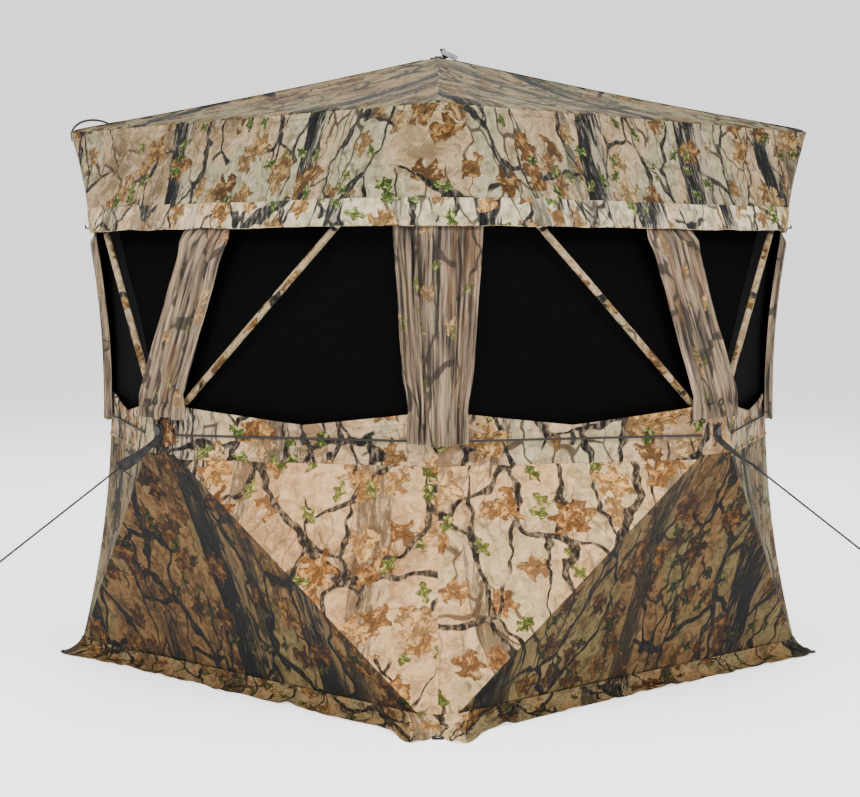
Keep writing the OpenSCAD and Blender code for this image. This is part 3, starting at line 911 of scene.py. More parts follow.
def screens(wall):
    """The window netting of one wall: a middle panel and one on each side of the creases."""
    angle = WALLS[wall]
    u0 = angle / 90 * 2.13
    heights = steps(SCREEN_FOOT, SCREEN_TOP, 28)

    def panel(word, across_at, across, depth_share):
        def place(s, z):
            x, share = across_at(s, z), depth_share(s)
            sag = -0.006 * math.sin(math.pi * clamp((z - SCREEN_FOOT) / (SCREEN_TOP - SCREEN_FOOT)))
            ripple = 0.002 * ruffle(x * 9, z * 6, angle)
            back = mix(SCREEN_BACK + 0.001, 0.002, share)
            return wall_point(x, z, (sag + ripple) * (1 - share) - back, angle)
        part = grid_part(place, across, heights, lambda s, z: (u0 + across_at(s, z), z))
        return build(f"window_screen_{wall}_{word}", [part], [MESH])

    piece = panel("middle", lambda a, z: a * crease_x(z), steps(-1, 1, 24), lambda a: 0.0)
    follow_height(piece, wall, STILL_TOP)
    named(piece, "black_mesh", "window_screens")
    for side, word in SIDES.items():
        piece = panel(word, lambda s, z: side * mix(crease_x(z), corner_at(z), s),
                      steps(0, 1, 20) if side > 0 else steps(1, 0, 20), lambda s: s)
        follow_side(piece, wall, side)
        named(piece, "black_mesh", "window_screens")


def around(p):
    """Wall angle and share across (-1 to 1) at perimeter place p, from 0 to 4."""
    wall = int(p) % 4
    return wall * 90, 2 * (p - int(p)) - 1


def ring_noise(p, scale, seed):
    """Smooth noise that closes on itself round the four walls."""
    t = p / 4 * 2 * math.pi
    return ruffle(math.cos(t) * scale, math.sin(t) * scale, seed)


def valance():
    """One deep flap round the eave, flaring in to its hem, with a pale hem band."""
    drop = EAVE - HEM
    band = 0.066                         # width of the hem band

    def place(p, t, lift=0.0):
        """t runs from 0 at the eave to 1 at the hem."""
        angle, s = around(p)
        z = EAVE - 0.003 - (drop - 0.003) * t
        x = s * corner_at(z)
        swing = 0.0045 * ring_noise(p, 7, 2.0) + 0.0035 * ring_noise(p, 22, 7.0) * t
        hang = 0.0070 + 0.0055 * t + swing * ease(t * 2) - 0.004 * math.sin(math.pi * t)
        pucker = 0.0016 * ring_noise(p, 60, 4.0) * math.exp(-t / 0.10)
        pleat = 0.0045 * ring_noise(p + 0.03 * t, 11, 1.0) * math.sin(math.pi * clamp(t * 1.05))
        corner = ease((1 - abs(s)) / 0.05)
        z += 0.0045 * ring_noise(p, 9, 5.0) * t * t * corner
        return wall_point(x, z, hang + (pucker + pleat) * corner + lift, angle)

    def hem_place(p, t):
        return place(p, mix(1 - band / drop, 1.0, t), 0.0013 + 0.0009 * math.sin(math.pi * t))

    def roll_place(p, a):
        return place(p, 1.0) + turn((0, -0.0012 * math.sin(a), -0.0016 * math.cos(a)), around(p)[0])

    def stitch_place(p, t):
        return place(p, 0.045 + 0.010 * t, 0.0010 + 0.0010 * math.sin(math.pi * t))

    across = steps(0, 4, 440)[:-1]
    parts = [grid_part(point, across, down, flat, material, True) for point, down, flat, material in (
        (place, steps(0, 1, 34), lambda p, t: (p * 1.62 + 7.7, 0.31 * (1 - t)), 0),
        (hem_place, steps(0, 1, 6), lambda p, t: (p * 1.62 + 2.1, band * (1 - t) + 0.9), 1),
        (roll_place, steps(-1.4, 2.6, 5), lambda p, a: (p * 1.62, a * 0.001), 1),
        (stitch_place, steps(0, 1, 3), lambda p, t: (p * 1.62 + 7.7, 0.31 * (1 - 0.045)), 0))]
    piece = build("valance_flap", parts, [CAMO_VALANCE, CAMO_PALE])
    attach(piece, "shell")
    named(piece, "camouflage_cloth", "valance")


SKIRT_TOP = 0.046                # the flap leaves the wall here


def skirt():
    """The flap along the ground, with a wavy edge that spreads beside each corner."""
    front_corner = 1
    near = 0.055                         # the flap has the walls' paler cloth this near to that corner

    def spread(p):
        d = (1 - abs(around(p)[1])) * HALF
        flare = 0.066 * math.exp(-((d - 0.085) / 0.050) ** 2) - 0.030 * math.exp(-(d / 0.022) ** 2)
        share = 1.0 if round(p) % 4 == front_corner else 0.16
        return 0.042 + 0.014 * ring_noise(p, 9, 3.0) + flare * share

    def place(p, t):
        """t runs from 0 at the seam on the wall to 1 at the edge on the ground."""
        angle, s = around(p)
        z = SKIRT_TOP * (1 - t) ** 1.5 + 0.0012
        x = s * corner_at(z)
        off = 0.0022 + spread(p) * t ** 1.7
        ripple = 0.004 * ring_noise(p, 30, 1.5) * math.sin(math.pi * t)
        ripple += 0.003 * ring_noise(p, 75, 8.0) * t * (1 - t)
        z += max(0.0, 0.010 * ring_noise(p, 24, 6.0)) * t * t
        return wall_point(x, z, off + ripple, angle)

    def flat(p, t):
        return p * 1.6 + 4.4, 0.15 * (1 - t)

    rest = [front_corner + near]
    for first, last, count in ((rest[0], 2, 123), (2, 3, 130), (3, 4, 130), (4, 5 - near, 123)):
        rest += steps(first, last, count)[1:]
    down = steps(0, 1, 14)
    parts = [grid_part(place, rest, down, flat),
             grid_part(place, steps(front_corner - near, front_corner + near, 16), down, flat, 1)]
    piece = build("ground_skirt_flap", parts, [CAMO_SKIRT, CAMO])
    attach(piece, "shell")
    named(piece, "camouflage_cloth", "ground_skirt")


ROOF_EDGE = HALF + 0.006
ROOF_TOP = 0.024
RIDGE_TAPE = 0.013               # width of the lap over a ridge


def roof_slope(wall):
    """One slope of the roof, from the eave up to the peak, sagging between its two ridges."""
    angle = WALLS[wall]
    seed = 40 + angle

    def width(t):
        return mix(ROOF_EDGE, ROOF_TOP, t)

    def place(s, t, lift=0.0):
        w = width(t)
        z = mix(EAVE + 0.003, PEAK, t)
        sag = 0.011 * (1 - s * s) * math.sin(math.pi * clamp(t * 1.1)) + 0.006 * math.sin(math.pi * t)
        x, y = s * w, -w
        wave = 0.0032 * ruffle(x * 4, y * 4, seed) + 0.0014 * ruffle(x * 12, y * 10, seed + 3)
        for side in SIDES:
            dx, dy = x - side * HALF, y + HALF
            r = math.hypot(dx, dy)
            fan = ruffle(math.atan2(dy, dx * side) * 6, r * 2, seed + side)
            wave += 0.010 * fan * math.exp(-r / 0.20) * ease(r / 0.04)
        edge = ease((1 - abs(s)) * w / 0.04) * ease(t / 0.04)
        droop = 0.004 * math.exp(-t / 0.012)
        return turn((x, y, z - sag + wave * edge - droop + lift), angle)

    def flat(s, t):
        return s * width(t) + 5.3 * (angle / 90 + 1), t * 0.77 + angle / 90 * 1.9

    def ridge_tape(side):
        """The lap over one ridge."""
        def share(a, t):
            return side * (1 - a * min(RIDGE_TAPE / width(t), 1.0))
        return grid_part(lambda a, t: place(share(a, t), t, 0.0015 + 0.0008 * math.sin(math.pi * a)),
                         steps(0, 1, 3) if side < 0 else steps(1, 0, 3), steps(0.005, 0.985, 60),
                         lambda a, t: flat(share(a, t), t))

    def eave_place(s, a):
        return place(s, 0.0) + turn((0, -0.0018 * math.cos(a), -0.0018 + 0.0022 * math.sin(a)), angle)

    parts = [grid_part(place, steps(-1, 1, 96), steps(0, 1, 60), flat), ridge_tape(-1), ridge_tape(1),
             grid_part(eave_place, steps(-1, 1, 60), steps(-1.6, 1.6, 5), lambda s, a: flat(s, 0))]
    piece = build(f"roof_slope_{wall}", parts, [CAMO_ROOF])
    follow_roof(piece, turn((0, -HALF, 0), angle))
    named(piece, "camouflage_cloth", "roof")


for wall_name in WALLS:
    for wall_side in SIDES:
        # Beside the front-right corner the side panels take the camouflage_wall print; every other side
        # panel takes the copy darkened with painted shade.
        by_front_corner = (wall_name, wall_side) in (("front", 1), ("right", -1))
        wall_cloth(wall_name, wall_side, [CAMO if by_front_corner else CAMO_PAINTED_SHADE, CAMO_BAND])
    # The foot of each wall takes a copy of the print darkened with painted shade.
    wall_foot(wall_name, [CAMO_FOOT_PAINTED_SHADE, CAMO_BAND])
    screens(wall_name)
    roof_slope(wall_name)
valance()
skirt()

# ------------------------------ curtains

CURTAIN_TOP = HEM + 0.022
HUB_CURTAIN_FOOT = 0.735
CORNER_CURTAIN_FOOT = 0.682
CORNER_SQUEEZE = 0.879           # the strips over a corner are drawn together by this
TIE_Z = 0.775


def pleats(q, z, count, seed):
    """Upright gathers across a curtain, from 0 to 1, that wander a little on their way down."""
    sway = 0.35 * ruffle(q * 2, z * 3, seed) + 0.16 * ruffle(q * 5, z * 9, seed + 2)
    wave = 0.5 + 0.5 * math.sin(math.pi * (q + sway * 0.22) * count)
    return clamp(0.82 * wave + 0.30 * (0.5 + ruffle(q * 14, z * 5, seed + 4)))


def tuck(lift, z):
    """Curtains lie flatter where they go up behind the valance."""
    return mix(lift, min(lift, 0.004), ease((z - HEM + 0.035) / 0.04))


def hub_curtain(wall):
    """The gathered strip that hangs in front of the windows over a hub, and its tie."""
    angle = WALLS[wall]
    seed = angle * 0.07 + 11

    def place(q, t):
        z = mix(HUB_CURTAIN_FOOT, CURTAIN_TOP, t) + 0.010 * ruffle(q * 4, 0, seed) * (1 - t)
        half = mix(0.083, 0.090, t) * (1 + 0.06 * ruffle(t * 7, 0, seed + 6))
        half += 0.008 * math.exp(-((t - 0.90) / 0.05) ** 2)
        x = q * half + 0.003 * ruffle(z * 9, q, seed + 8)
        curl = ease((1 - abs(q)) / 0.16)
        lift = 0.004 + (0.005 + 0.014 * pleats(q, z, 8, seed)) * curl
        lift -= 0.005 * math.exp(-((z - TIE_Z) / 0.012) ** 2) * curl
        return wall_point(x, z, tuck(lift, z), angle)

    part = grid_part(place, steps(-1, 1, 96), steps(0, 1, 60),
                     lambda q, t: (q * 0.15 + angle * 0.013, t * 0.48))
    piece = build(f"hub_curtain_{wall}_gather", [part], [CAMO_CURTAIN])
    follow_height(piece, wall, STILL_TOP)
    named(piece, "curtain_cloth", "hub_curtain_" + wall)
    knot = []
    for side in SIDES:
        knot += tube_parts([wall_point(side * (0.030 + 0.003 * i), TIE_Z - 0.002 * i + 0.0004 * i * i,
                                       0.024 - 0.0012 * i, angle) for i in range(7)], 0.0022)
    knot += ring_parts(wall_point(0, TIE_Z, 0.021, angle), turn((0, -1, 0), angle), 0.008, 0.0022)
    tie = build(f"hub_curtain_{wall}_tie", knot, [ROPE])
    follow_height(tie, wall, STILL_TOP)
    named(tie, "cord")


def corner_point(corner, q, z, lift):
    """A point of the curtain over a corner, q from it along one wall (below 0) or the other."""
    x = corner_at(z) - abs(q) * CORNER_SQUEEZE
    angle = CORNERS[corner]
    return wall_point(x, z, lift, angle) if q <= 0 else wall_point(-x, z, lift, angle + 90)


def corner_curtain(corner):
    """Three gathered strips over a corner: one at the edge itself and a flap on each wall."""
    angle = CORNERS[corner]
    names = list(WALLS)
    first, second = names[angle // 90], names[(angle // 90 + 1) % 4]
    seed = angle * 0.05 + 23
    stem = f"corner_curtain_{corner}"

    def strip(word, at_top, at_foot, count, extra, foot, base=0.006, depth=0.010):
        """A strip between two distances from the corner, told at its top and at its foot."""
        def place(s, t):
            z = mix(foot, CURTAIN_TOP, t) + 0.008 * ruffle(s * 5, 1.0, seed + extra) * (1 - t)
            narrow = 1 - 0.10 * math.exp(-((t - 0.16) / 0.10) ** 2)
            q = mix(mix(*at_foot, s), mix(*at_top, s), t ** 0.8) * narrow
            q += 0.0025 * ruffle(z * 8, s * 3, seed + extra)
            curl = ease(min(s, 1 - s) / 0.14)
            lift = base + (0.003 + depth * pleats(2 * s - 1, z, count, seed + extra)) * curl
            return corner_point(corner, q, z, tuck(lift, z))
        part = grid_part(place, steps(0, 1, 46), steps(0, 1, 64),
                         lambda s, t: (mix(*at_top, s) * 1.35 + angle * 0.017 + extra, t * 0.53))
        return build(f"{stem}_{word}", [part], [CAMO_CURTAIN])

    foot = CORNER_CURTAIN_FOOT
    piece = strip("first_flap", (-0.106, -0.040), (-0.078, -0.030), 4, 0, foot + 0.004)
    follow_side(piece, first, 1)
    named(piece, "curtain_cloth", stem)
    piece = strip("second_flap", (0.040, 0.106), (0.030, 0.078), 4, 0.4, foot + 0.002)
    follow_side(piece, second, -1)
    named(piece, "curtain_cloth")
    piece = strip("middle", (-0.056, 0.056), (-0.040, 0.040), 5, 1.2, foot, 0.0075, 0.0055)
    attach(piece, "shell")
    named(piece, "curtain_cloth")


for wall_name in WALLS:
    hub_curtain(wall_name)
for corner_name in CORNERS:
    corner_curtain(corner_name)

# ------------------------------ cord along the windows


def window_cord(wall, side):
    """The taut cord under one half of a wall's windows, from the hub to the corner."""
    angle = WALLS[wall]
    reach = corner_at(CORD_Z) + 0.0037
    start = Vector((side * 0.062, -face_out(0.062, CORD_Z) - 0.005, CORD_Z))
    end = Vector((side * reach, -reach, CORD_Z))
    path = [turn(p, angle) for p in steps(start, end, 48)]
    piece = build(f"window_cord_{wall}_{SIDES[side]}", tube_parts(path, CORD_R, 10), [ROPE])
    follow_side(piece, wall, side)
    named(piece, "cord", "window_cord")
    # a keeper loop of tape halfway along
    profile = (0.016, -0.002), (0.008, 0.001), (0.003, 0.0045)
    profile += tuple((-z, off) for z, off in reversed(profile))
    loop = [turn(mix(start, end, 0.5) + Vector((0, -off, z)), angle) for z, off in profile]
    keeper = band_parts(loop, turn((end - start).normalized(), angle), 0.011, 0.0012)
    tape = build(f"cord_keeper_{wall}_{SIDES[side]}", keeper, [WEBBING])
    follow_side(tape, wall, side)
    named(tape, "tape")


for wall_name in WALLS:
    for wall_side in SIDES:
        window_cord(wall_name, wall_side)

# ------------------------------ frame: rods, fittings and pockets

ROD = fibreglass("fibreglass_rod")
METAL = moulded("blackened_steel", (0.060, 0.060, 0.060), 0.40, 1400, metallic=0.9, scratch=0.3)
PLASTIC = moulded("hub_moulding", (0.018, 0.018, 0.017), 0.52, 1100)
HOOKS = moulded("hook_moulding", (0.012, 0.012, 0.012), 0.45, 1200)
ROD_R = 0.0045
ROD_BOW = 0.004                  # how far a rod arches outwards
FERRULE_R = 0.0065
CAP_R = FERRULE_R * 0.92
NECK_R = 0.0036
NECK_AT = 0.012                  # the rod's neck starts this far from its pin
SLEEVE_R = 0.0088
# (across the pin, radius) round the section of the rod's round end
PIVOT = [(-0.0040, 0.0076), (-0.0034, 0.0082), (0.0034, 0.0082), (0.0040, 0.0076),
         (0.0040, 0.0031), (-0.0040, 0.0031), (-0.0040, 0.0076)]
POCKET_R = 0.0215


def inside_corner(angle, side, is_up):
    """The corner inside the cloth that a rod points at."""
    return turn((side * (HALF - LINING), -(HALF - LINING), EAVE - LINING if is_up else LINING), angle)


def rod_thickness(length):
    """Neck in the hub's slot, metal ferrule, rod and end cap, by the share of the length."""
    marks = [(NECK_AT, NECK_R), (0.022, NECK_R), (0.0225, FERRULE_R), (0.074, FERRULE_R),
             (0.0745, ROD_R), (length - 0.030, ROD_R), (length - 0.0295, CAP_R), (length, CAP_R)]

    def radius(t):
        d = NECK_AT + t * (length - NECK_AT)
        for (a, ra), (b, rb) in zip(marks, marks[1:]):
            if d <= b:
                return mix(ra, rb, clamp((d - a) / (b - a)))
        return CAP_R
    return radius


def rod_set(name, aim, out, follow_it):
    """A rod from its hub's pin to the corner it points at, and the round end that turns on the pin."""
    pin = Vector(JOINTS[name.replace("rod_", "swing_")]["pos_m"])
    way = (aim - pin).normalized()
    length = (aim - pin).length - 0.014

    def at(d):
        return pin + way * d + out * (ROD_BOW * math.sin(math.pi * d / length))

    stops = {NECK_AT, 0.0222, 0.0226, 0.0742, 0.0748, length - 0.0298, length - 0.0294, length - 0.003,
             length, *steps(0.08, length - 0.035, 40)}
    line = [at(d) for d in sorted(stops)]
    rod = build(name + "_shaft", tube_parts(line, rod_thickness(length), 12), [ROD])
    follow_it(rod)
    named(rod, "fibreglass", name)
    across = way.cross(out).normalized()
    up = way.cross(across)
    turns = [2 * math.pi * k / 32 for k in range(32)]
    rings = [[(pin + across * x + (way * math.cos(a) + up * math.sin(a)) * r, (a * 0.01, x))
              for a in turns] for x, r in PIVOT]
    put(name + "_pivot", [(rings, 0, True)], PLASTIC, name, "fibreglass")
    return at, length


def wall_rods(wall):
    """The four rods of a wall's hub; the upper two show as sleeves across the windows."""
    outwards = turn((0, -1, 0), WALLS[wall])
    for i, side, is_up in ((1, 1, True), (2, -1, True), (3, -1, False), (4, 1, False)):
        def follow_it(piece):
            follow_side(piece, wall, side)
        aim = inside_corner(WALLS[wall], side, is_up)
        at, length = rod_set(f"rod_{wall}_{i}", aim, outwards, follow_it)
        if is_up:
            line = [at(d) + Vector((0, 0, 0.0006 * ruffle(d * 40, 0, i)))
                    for d in steps(0.050, length - 0.055, 60)]
            sleeve = build(f"rod_sleeve_{wall}_{i}", tube_parts(
                line, lambda t: SLEEVE_R * (1 + 0.07 * ruffle(t * 60, 1.0, 3.0)), 16), [CAMO_VALANCE])
            follow_it(sleeve)
            named(sleeve, "camouflage_cloth")


def roof_rod(i):
    pin = JOINTS[f"swing_roof_{i}"]["pos_m"]
    flat_way = Vector((pin[0], pin[1], 0)).normalized()
    aim = flat_way * (math.sqrt(2) * (HALF - LINING)) + Vector((0, 0, EAVE - LINING))
    rod_set(f"rod_roof_{i}", aim, Vector((0, 0, 1)),
            lambda piece: follow_roof(piece, flat_way * (math.sqrt(2) * HALF)))


def corner_pocket(corner, word):
    """A sewn cup that holds the rods' tips in an inside corner."""
    angle, is_up = CORNERS[corner], word == "upper"
    root = inside_corner(angle, 1, is_up)
    way = turn((-0.593, 0.593, -0.545 if is_up else 0.545), angle).normalized()
    path = [root + way * d for d in steps(-0.004, 0.017, 10)]
    cup, bottom, _ = tube_parts(path, lambda t: mix(0.006, POCKET_R, math.sqrt(clamp(t))), 28)
    rim = cup[0][-1]
    rim_in = [(mix(p - way * 0.0012, root, 0.06), uv) for p, uv in rim]
    parts = [cup, bottom, ([rim, rim_in], 0, True), *ring_parts(path[-1], way, POCKET_R, 0.0012, 36)]
    put(f"corner_pocket_{corner}_{word}", parts, POCKET, "shell", "pocket_cloth", "corner_pockets")


for wall_name in WALLS:
    wall_rods(wall_name)
for rod_index in range(1, 5):
    roof_rod(rod_index)
for corner_name in CORNERS:
    corner_pocket(corner_name, "upper")
    corner_pocket(corner_name, "lower")

# ------------------------------ straps, tabs, loops and hooks

SILVER = webbing("silver_tab_cloth", (0.40, 0.40, 0.40), thread=0.0011, bright=1.6, rough=0.5)
STITCH = webbing("stitching", (0.16, 0.16, 0.15), thread=0.0006, rough=0.6)
LOOP = webbing("loop_tape", (0.085, 0.076, 0.060), thread=0.0011)
BRASS = moulded("grommet_metal", (0.30, 0.29, 0.27), 0.38, 1500, metallic=1.0, scratch=0.5)
STITCH_R = 0.0004
STITCH_RISE = 0.0003


def stitch_line(a, b, out, pitch=0.0034):
    """Raised stitches in a straight line."""
    a, b, rise = Vector(a), Vector(b), Vector(out) * STITCH_RISE
    count = max(2, int((b - a).length / pitch))
    parts = []
    for i in range(count):
        p, q = mix(a, b, (i + 0.12) / count), mix(a, b, (i + 0.88) / count)
        line = [p - rise, mix(p, q, 0.25) + rise, mix(p, q, 0.75) + rise, q - rise]
        parts += tube_parts(line, STITCH_R, 6)
    return parts


def stitched_box(centre, along, across, out, length, width):
    """The square with a cross that sews a strap down."""
    centre, along, across = Vector(centre), Vector(along) * (length / 2), Vector(across) * (width / 2)
    corners = [centre - along - across, centre + along - across,
               centre + along + across, centre - along + across]
    parts = []
    for i, j in ((0, 1), (1, 2), (2, 3), (3, 0), (0, 2), (1, 3)):
        parts += stitch_line(corners[i], corners[j], out)
    return parts


def pull_strap(wall, twist=None):
    """Webbing riveted to a hub: drawn out and twisted towards its rope, or hanging down the wall."""
    angle = WALLS[wall]
    pulled = twist is not None
    on_face = -HUB_OUT - 0.0030          # the strap lies here on the hub
    stitches = -HUB_OUT - 0.0047
    if pulled:
        bend = Vector((0, -HUB_OUT - 0.016, HUB_Z - 0.026))
        end = ROPE_START + Vector((0, 0.003, 0.002))
        line = [Vector((0, on_face - out, HUB_Z + rise))
                for out, rise in ((0, 0.017), (0, -0.006), (0.0012, -0.014), (0.0055, -0.0205))]
        line += [mix(bend, end, t) + Vector((0, 0, -0.004 * math.sin(math.pi * t)))
                 for t in steps(0, 1, 16)]
    else:
        line = [Vector((0, on_face, HUB_Z + 0.017 - d)) for d in steps(0, 0.030, 5)]
        line += [Vector((0, on_face - 0.006 * t * t, mix(HUB_Z - 0.016, HUB_Z - 0.147, t)))
                 for t in steps(0, 1, 14)]
    count = len(line)
    fold_from = count - 6

    def across(i):
        turned = math.radians(twist or 0.0) * ease((i - 4) / (count - 5))
        return Vector((math.cos(turned), 0, math.sin(turned)))

    parts = band_parts([turn(p, angle) for p in line], lambda i: turn(across(i), angle), 0.030, 0.0030)
    # the doubled end, folded back over itself
    fold = [turn(line[i] + way_at(line, i).cross(across(i)).normalized() * 0.0027, angle)
            for i in range(fold_from, count)]
    parts += band_parts(fold, lambda i: turn(across(i + fold_from), angle), 0.0285, 0.0024)
    put(f"pull_strap_{wall}_webbing", parts, WEBBING, "hub_" + wall, "webbing", "pull_strap_" + wall)
    seam = []
    wide, out = turn((1, 0, 0), angle), turn((0, -1, 0), angle)
    if not pulled:
        for centre, length in (((0, stitches, HUB_Z - 0.020), 0.014),
                               (line[-4] + Vector((0, -0.0048, 0)), 0.020)):
            seam += stitched_box(turn(centre, angle), (0, 0, 1), wide, out, length, 0.022)
    for side in SIDES:
        seam += stitch_line(turn((side * 0.012, stitches, HUB_Z + 0.015), angle),
                            turn((side * 0.012, stitches, HUB_Z - 0.007), angle), out)
    put(f"pull_strap_{wall}_stitching", seam, STITCH, "hub_" + wall, "webbing")


def roof_tab():
    """A square of black webbing on the peak with a folded silver tab that leans over."""
    up = Vector((0, 0, 1))
    lean = Vector((math.cos(math.radians(45)), math.sin(math.radians(45)), 0))
    wide = up.cross(lean)
    top = PEAK + 0.0012
    base = band_parts([lean * x + up * (top + 0.0014 + 0.0006 * math.sin(x * 180))
                       for x in steps(-0.023, 0.023, 12)], wide, 0.030, 0.0026)
    put("roof_tab_base", base, WEBBING, "hub_roof", "webbing", "roof_tab")
    seam = stitched_box(lean * -0.004 + up * (top + 0.0030), lean, wide, up, 0.030, 0.023)
    put("roof_tab_stitching", seam, STITCH, "hub_roof", "webbing")
    post = [lean * mix(0.022, 0.0125, t) + up * (top + 0.002 + 0.026 * t) +
            wide * (0.0015 * math.sin(5 * t)) for t in steps(0, 1, 10)]
    post += [lean * 0.0125 + up * (top + 0.0292) + wide * 0.0030,
             lean * 0.0130 + up * (top + 0.0270) + wide * 0.0052]
    put("roof_tab_post", band_parts(post, lean, 0.0155, 0.0024), WEBBING, "hub_roof", "webbing")
    # the silver tab runs down from the top of the post, doubled round its far end
    slope = math.radians(24)
    along = lean * math.cos(slope) - up * math.sin(slope)
    rise = up * math.cos(slope) + lean * math.sin(slope)
    root = lean * 0.0110 + up * (top + 0.0215)
    length, half = 0.043, 0.0036
    fold = [root + along * (length * t) - wide * (half + 0.0010 * math.sin(4 * t))
            for t in steps(0, 1, 12)]
    fold += [root + along * (length + 0.0040 * math.sin(a)) - wide * (half * math.cos(a))
             for a in steps(0.3, 2.84, 8)]
    fold += [root + along * (length * t) + wide * half for t in steps(1, 0, 12)]
    put("roof_tab_fold", band_parts(fold, rise, 0.0150, 0.0018), SILVER, "hub_roof", "pull_tab")
    lines = []
    for a in (-0.0048, 0.0, 0.0048):
        start = root + rise * a - wide * 0.0052
        lines += stitch_line(start + along * 0.002, start + along * 0.041, -wide, 0.0026)
    put("roof_tab_fold_stitching", lines, STITCH, "hub_roof", "pull_tab")


def stake_loop(corner):
    """A webbing tab on the ground with a metal-rimmed hole for the stake."""
    angle = CORNERS[corner] - 45
    hole = Vector((math.sqrt(2) * HALF + 0.0357, 0, 0))
    hole_r = 0.0062
    section = [(0, 0.0005), (0, 0.0034), (1, 0.0034), (1, 0.0005), (0, 0.0005)]

    def place(k, row):
        """Row by row round the tab's section, from the hole (0) to its edge (1)."""
        share, z = section[row]
        c, s = math.cos(2 * math.pi * k / 64), math.sin(2 * math.pi * k / 64)
        reach = 0.0175 if c > 0 else 0.050
        m = ((abs(c) / reach) ** 6 + (abs(s) / 0.0145) ** 6) ** (-1 / 6)
        x, y = mix(hole_r * c, c * m, share), mix(hole_r * s, s * m, share)
        if x < -0.020:
            z += 0.004 * ease((-0.020 - x) / 0.03)
        return turn(hole + Vector((x, y, z)), angle)

    tab = grid_part(place, range(64), range(5), lambda k, row: (k * 0.002, row * 0.01), 0, True)
    put(f"stake_loop_{corner}_tab", [tab], WEBBING, "shell", "webbing", "stake_loops")
    rim = ring_parts(turn(hole + Vector((0, 0, 0.0036)), angle), (0, 0, 1), 0.0078, 0.0013, 40)
    put(f"stake_loop_{corner}_grommet", rim, BRASS, "shell", "steel")
    seam = stitched_box(turn(hole + Vector((-0.031, 0, 0.0052)), angle), turn((1, 0, 0), angle),
                        turn((0, 1, 0), angle), (0, 0, 1), 0.012, 0.020)
    put(f"stake_loop_{corner}_stitching", seam, STITCH, "shell", "webbing")


def roof_loop(corner):
    """A tape loop that runs up from the roof's corner and arches over its ridge."""
    angle = CORNERS[corner] - 45
    # (out from the corner, up): the sewn ends and the Bezier curve between them
    curve = [(0.006, -0.003), (-0.008, 0.040), (-0.071, 0.040), (-0.101, 0.0225)]
    arch = [(0.0045, -0.028), (0.0065, -0.016), (0.0075, -0.008)]
    for t in steps(0, 1, 24):
        shares = ((1 - t) ** 3, 3 * t * (1 - t) ** 2, 3 * t * t * (1 - t), t ** 3)
        arch.append(tuple(sum(w * p[i] for w, p in zip(shares, curve)) for i in (0, 1)))
    arch += [(-0.112, 0.0240), (-0.126, 0.0265)]
    path = [turn((math.sqrt(2) * HALF + out, 0, EAVE + rise), angle) for out, rise in arch]
    tape = band_parts(path, turn((0, 0.93, 0.36), angle), 0.012, 0.0020)
    put(f"roof_loop_{corner}_tape", tape, LOOP, "shell", "tape", "roof_loop")


def hem_hook(corner):
    """A small moulded hook on the valance's corner."""
    angle = CORNERS[corner] - 45
    root = Vector((math.sqrt(2) * (corner_at(HEM + 0.022) + 0.006) + 0.0045, 0, HEM + 0.014))

    def rod(line, radius):
        return tube_parts([turn(root + Vector((out, 0, rise)), angle) for out, rise in line], radius, 12)

    parts = box_parts(turn(root, angle), (0.007, 0.012, 0.016),
                      [turn((1, 0, 0), angle), turn((0, 1, 0), angle), Vector((0, 0, 1))])
    parts += rod([(0.0015 + 0.0115 * t, -0.002 + 0.0015 * t * t) for t in steps(0, 1, 5)],
                 lambda t: mix(0.0028, 0.0021, t))
    parts += rod([(0.014, -0.004 + 0.0125 * t) for t in steps(0, 1, 6)],
                 lambda t: 0.0024 * math.sqrt(max(0.2, 1 - (2 * t - 1) ** 4)))
    put(f"hem_hook_{corner}_moulding", parts, HOOKS, "shell", "hook_plastic", "hem_hooks")


pull_strap("front", twist=-62)
pull_strap("right", twist=-28)
pull_strap("back")
pull_strap("left")
roof_tab()
for corner_name in CORNERS:
    stake_loop(corner_name)
    hem_hook(corner_name)
roof_loop("front_left")

# ------------------------------ door zip on the back wall

ZIP_TAPE = webbing("zip_tape", (0.050, 0.046, 0.036), thread=0.0009)
ZIP_COIL = moulded("zip_coil", (0.028, 0.027, 0.024), 0.42, 1500)
ZIP_METAL = moulded("zip_slider_metal", (0.11, 0.11, 0.11), 0.36, 1500, metallic=0.9, scratch=0.5)
ZIP_HEAD = Vector((-FLAT_LOW.x, -HUB_OUT, FLAT_LOW.z))
ZIP_FOOT = Vector((-HALF, -HALF, 0))
ZIP_WAY = (ZIP_FOOT - ZIP_HEAD).normalized()
ZIP_OUT = (Vector((0, -1, 0)) - ZIP_WAY * ZIP_WAY.dot(Vector((0, -1, 0)))).normalized()
ZIP_SIDE = ZIP_WAY.cross(ZIP_OUT)
ZIP_FROM, ZIP_TO = 0.090, 0.800
TOOTH_PITCH = 0.003
SLIDER_AT, SLIDER_L = 0.785, 0.030


def zip_point(d, side, out):
    return turn(ZIP_HEAD + ZIP_WAY * d + ZIP_SIDE * side + ZIP_OUT * out, WALLS["back"])


def zip_tape(a, b):
    """One tape along the zip, between two distances from its middle."""
    def place(s, d):
        x = mix(a, b, s)
        return zip_point(d, x, 0.0018 + 0.0004 * math.cos(x * 240) - 0.10 * abs(x))
    return grid_part(place, steps(0, 1, 6), steps(ZIP_FROM, ZIP_TO, 90), lambda s, d: (s * 0.012, d))


def zip_tooth(i):
    d = ZIP_FROM + 0.005 + TOOTH_PITCH * i
    side = 0.0011 if i % 2 else -0.0011
    profile = (-0.0022, 0.0024), (-0.0018, 0.0034), (0.0018, 0.0034), (0.0022, 0.0024)
    return tube_parts([zip_point(d, side + across, out) for across, out in profile], 0.0009, 6)


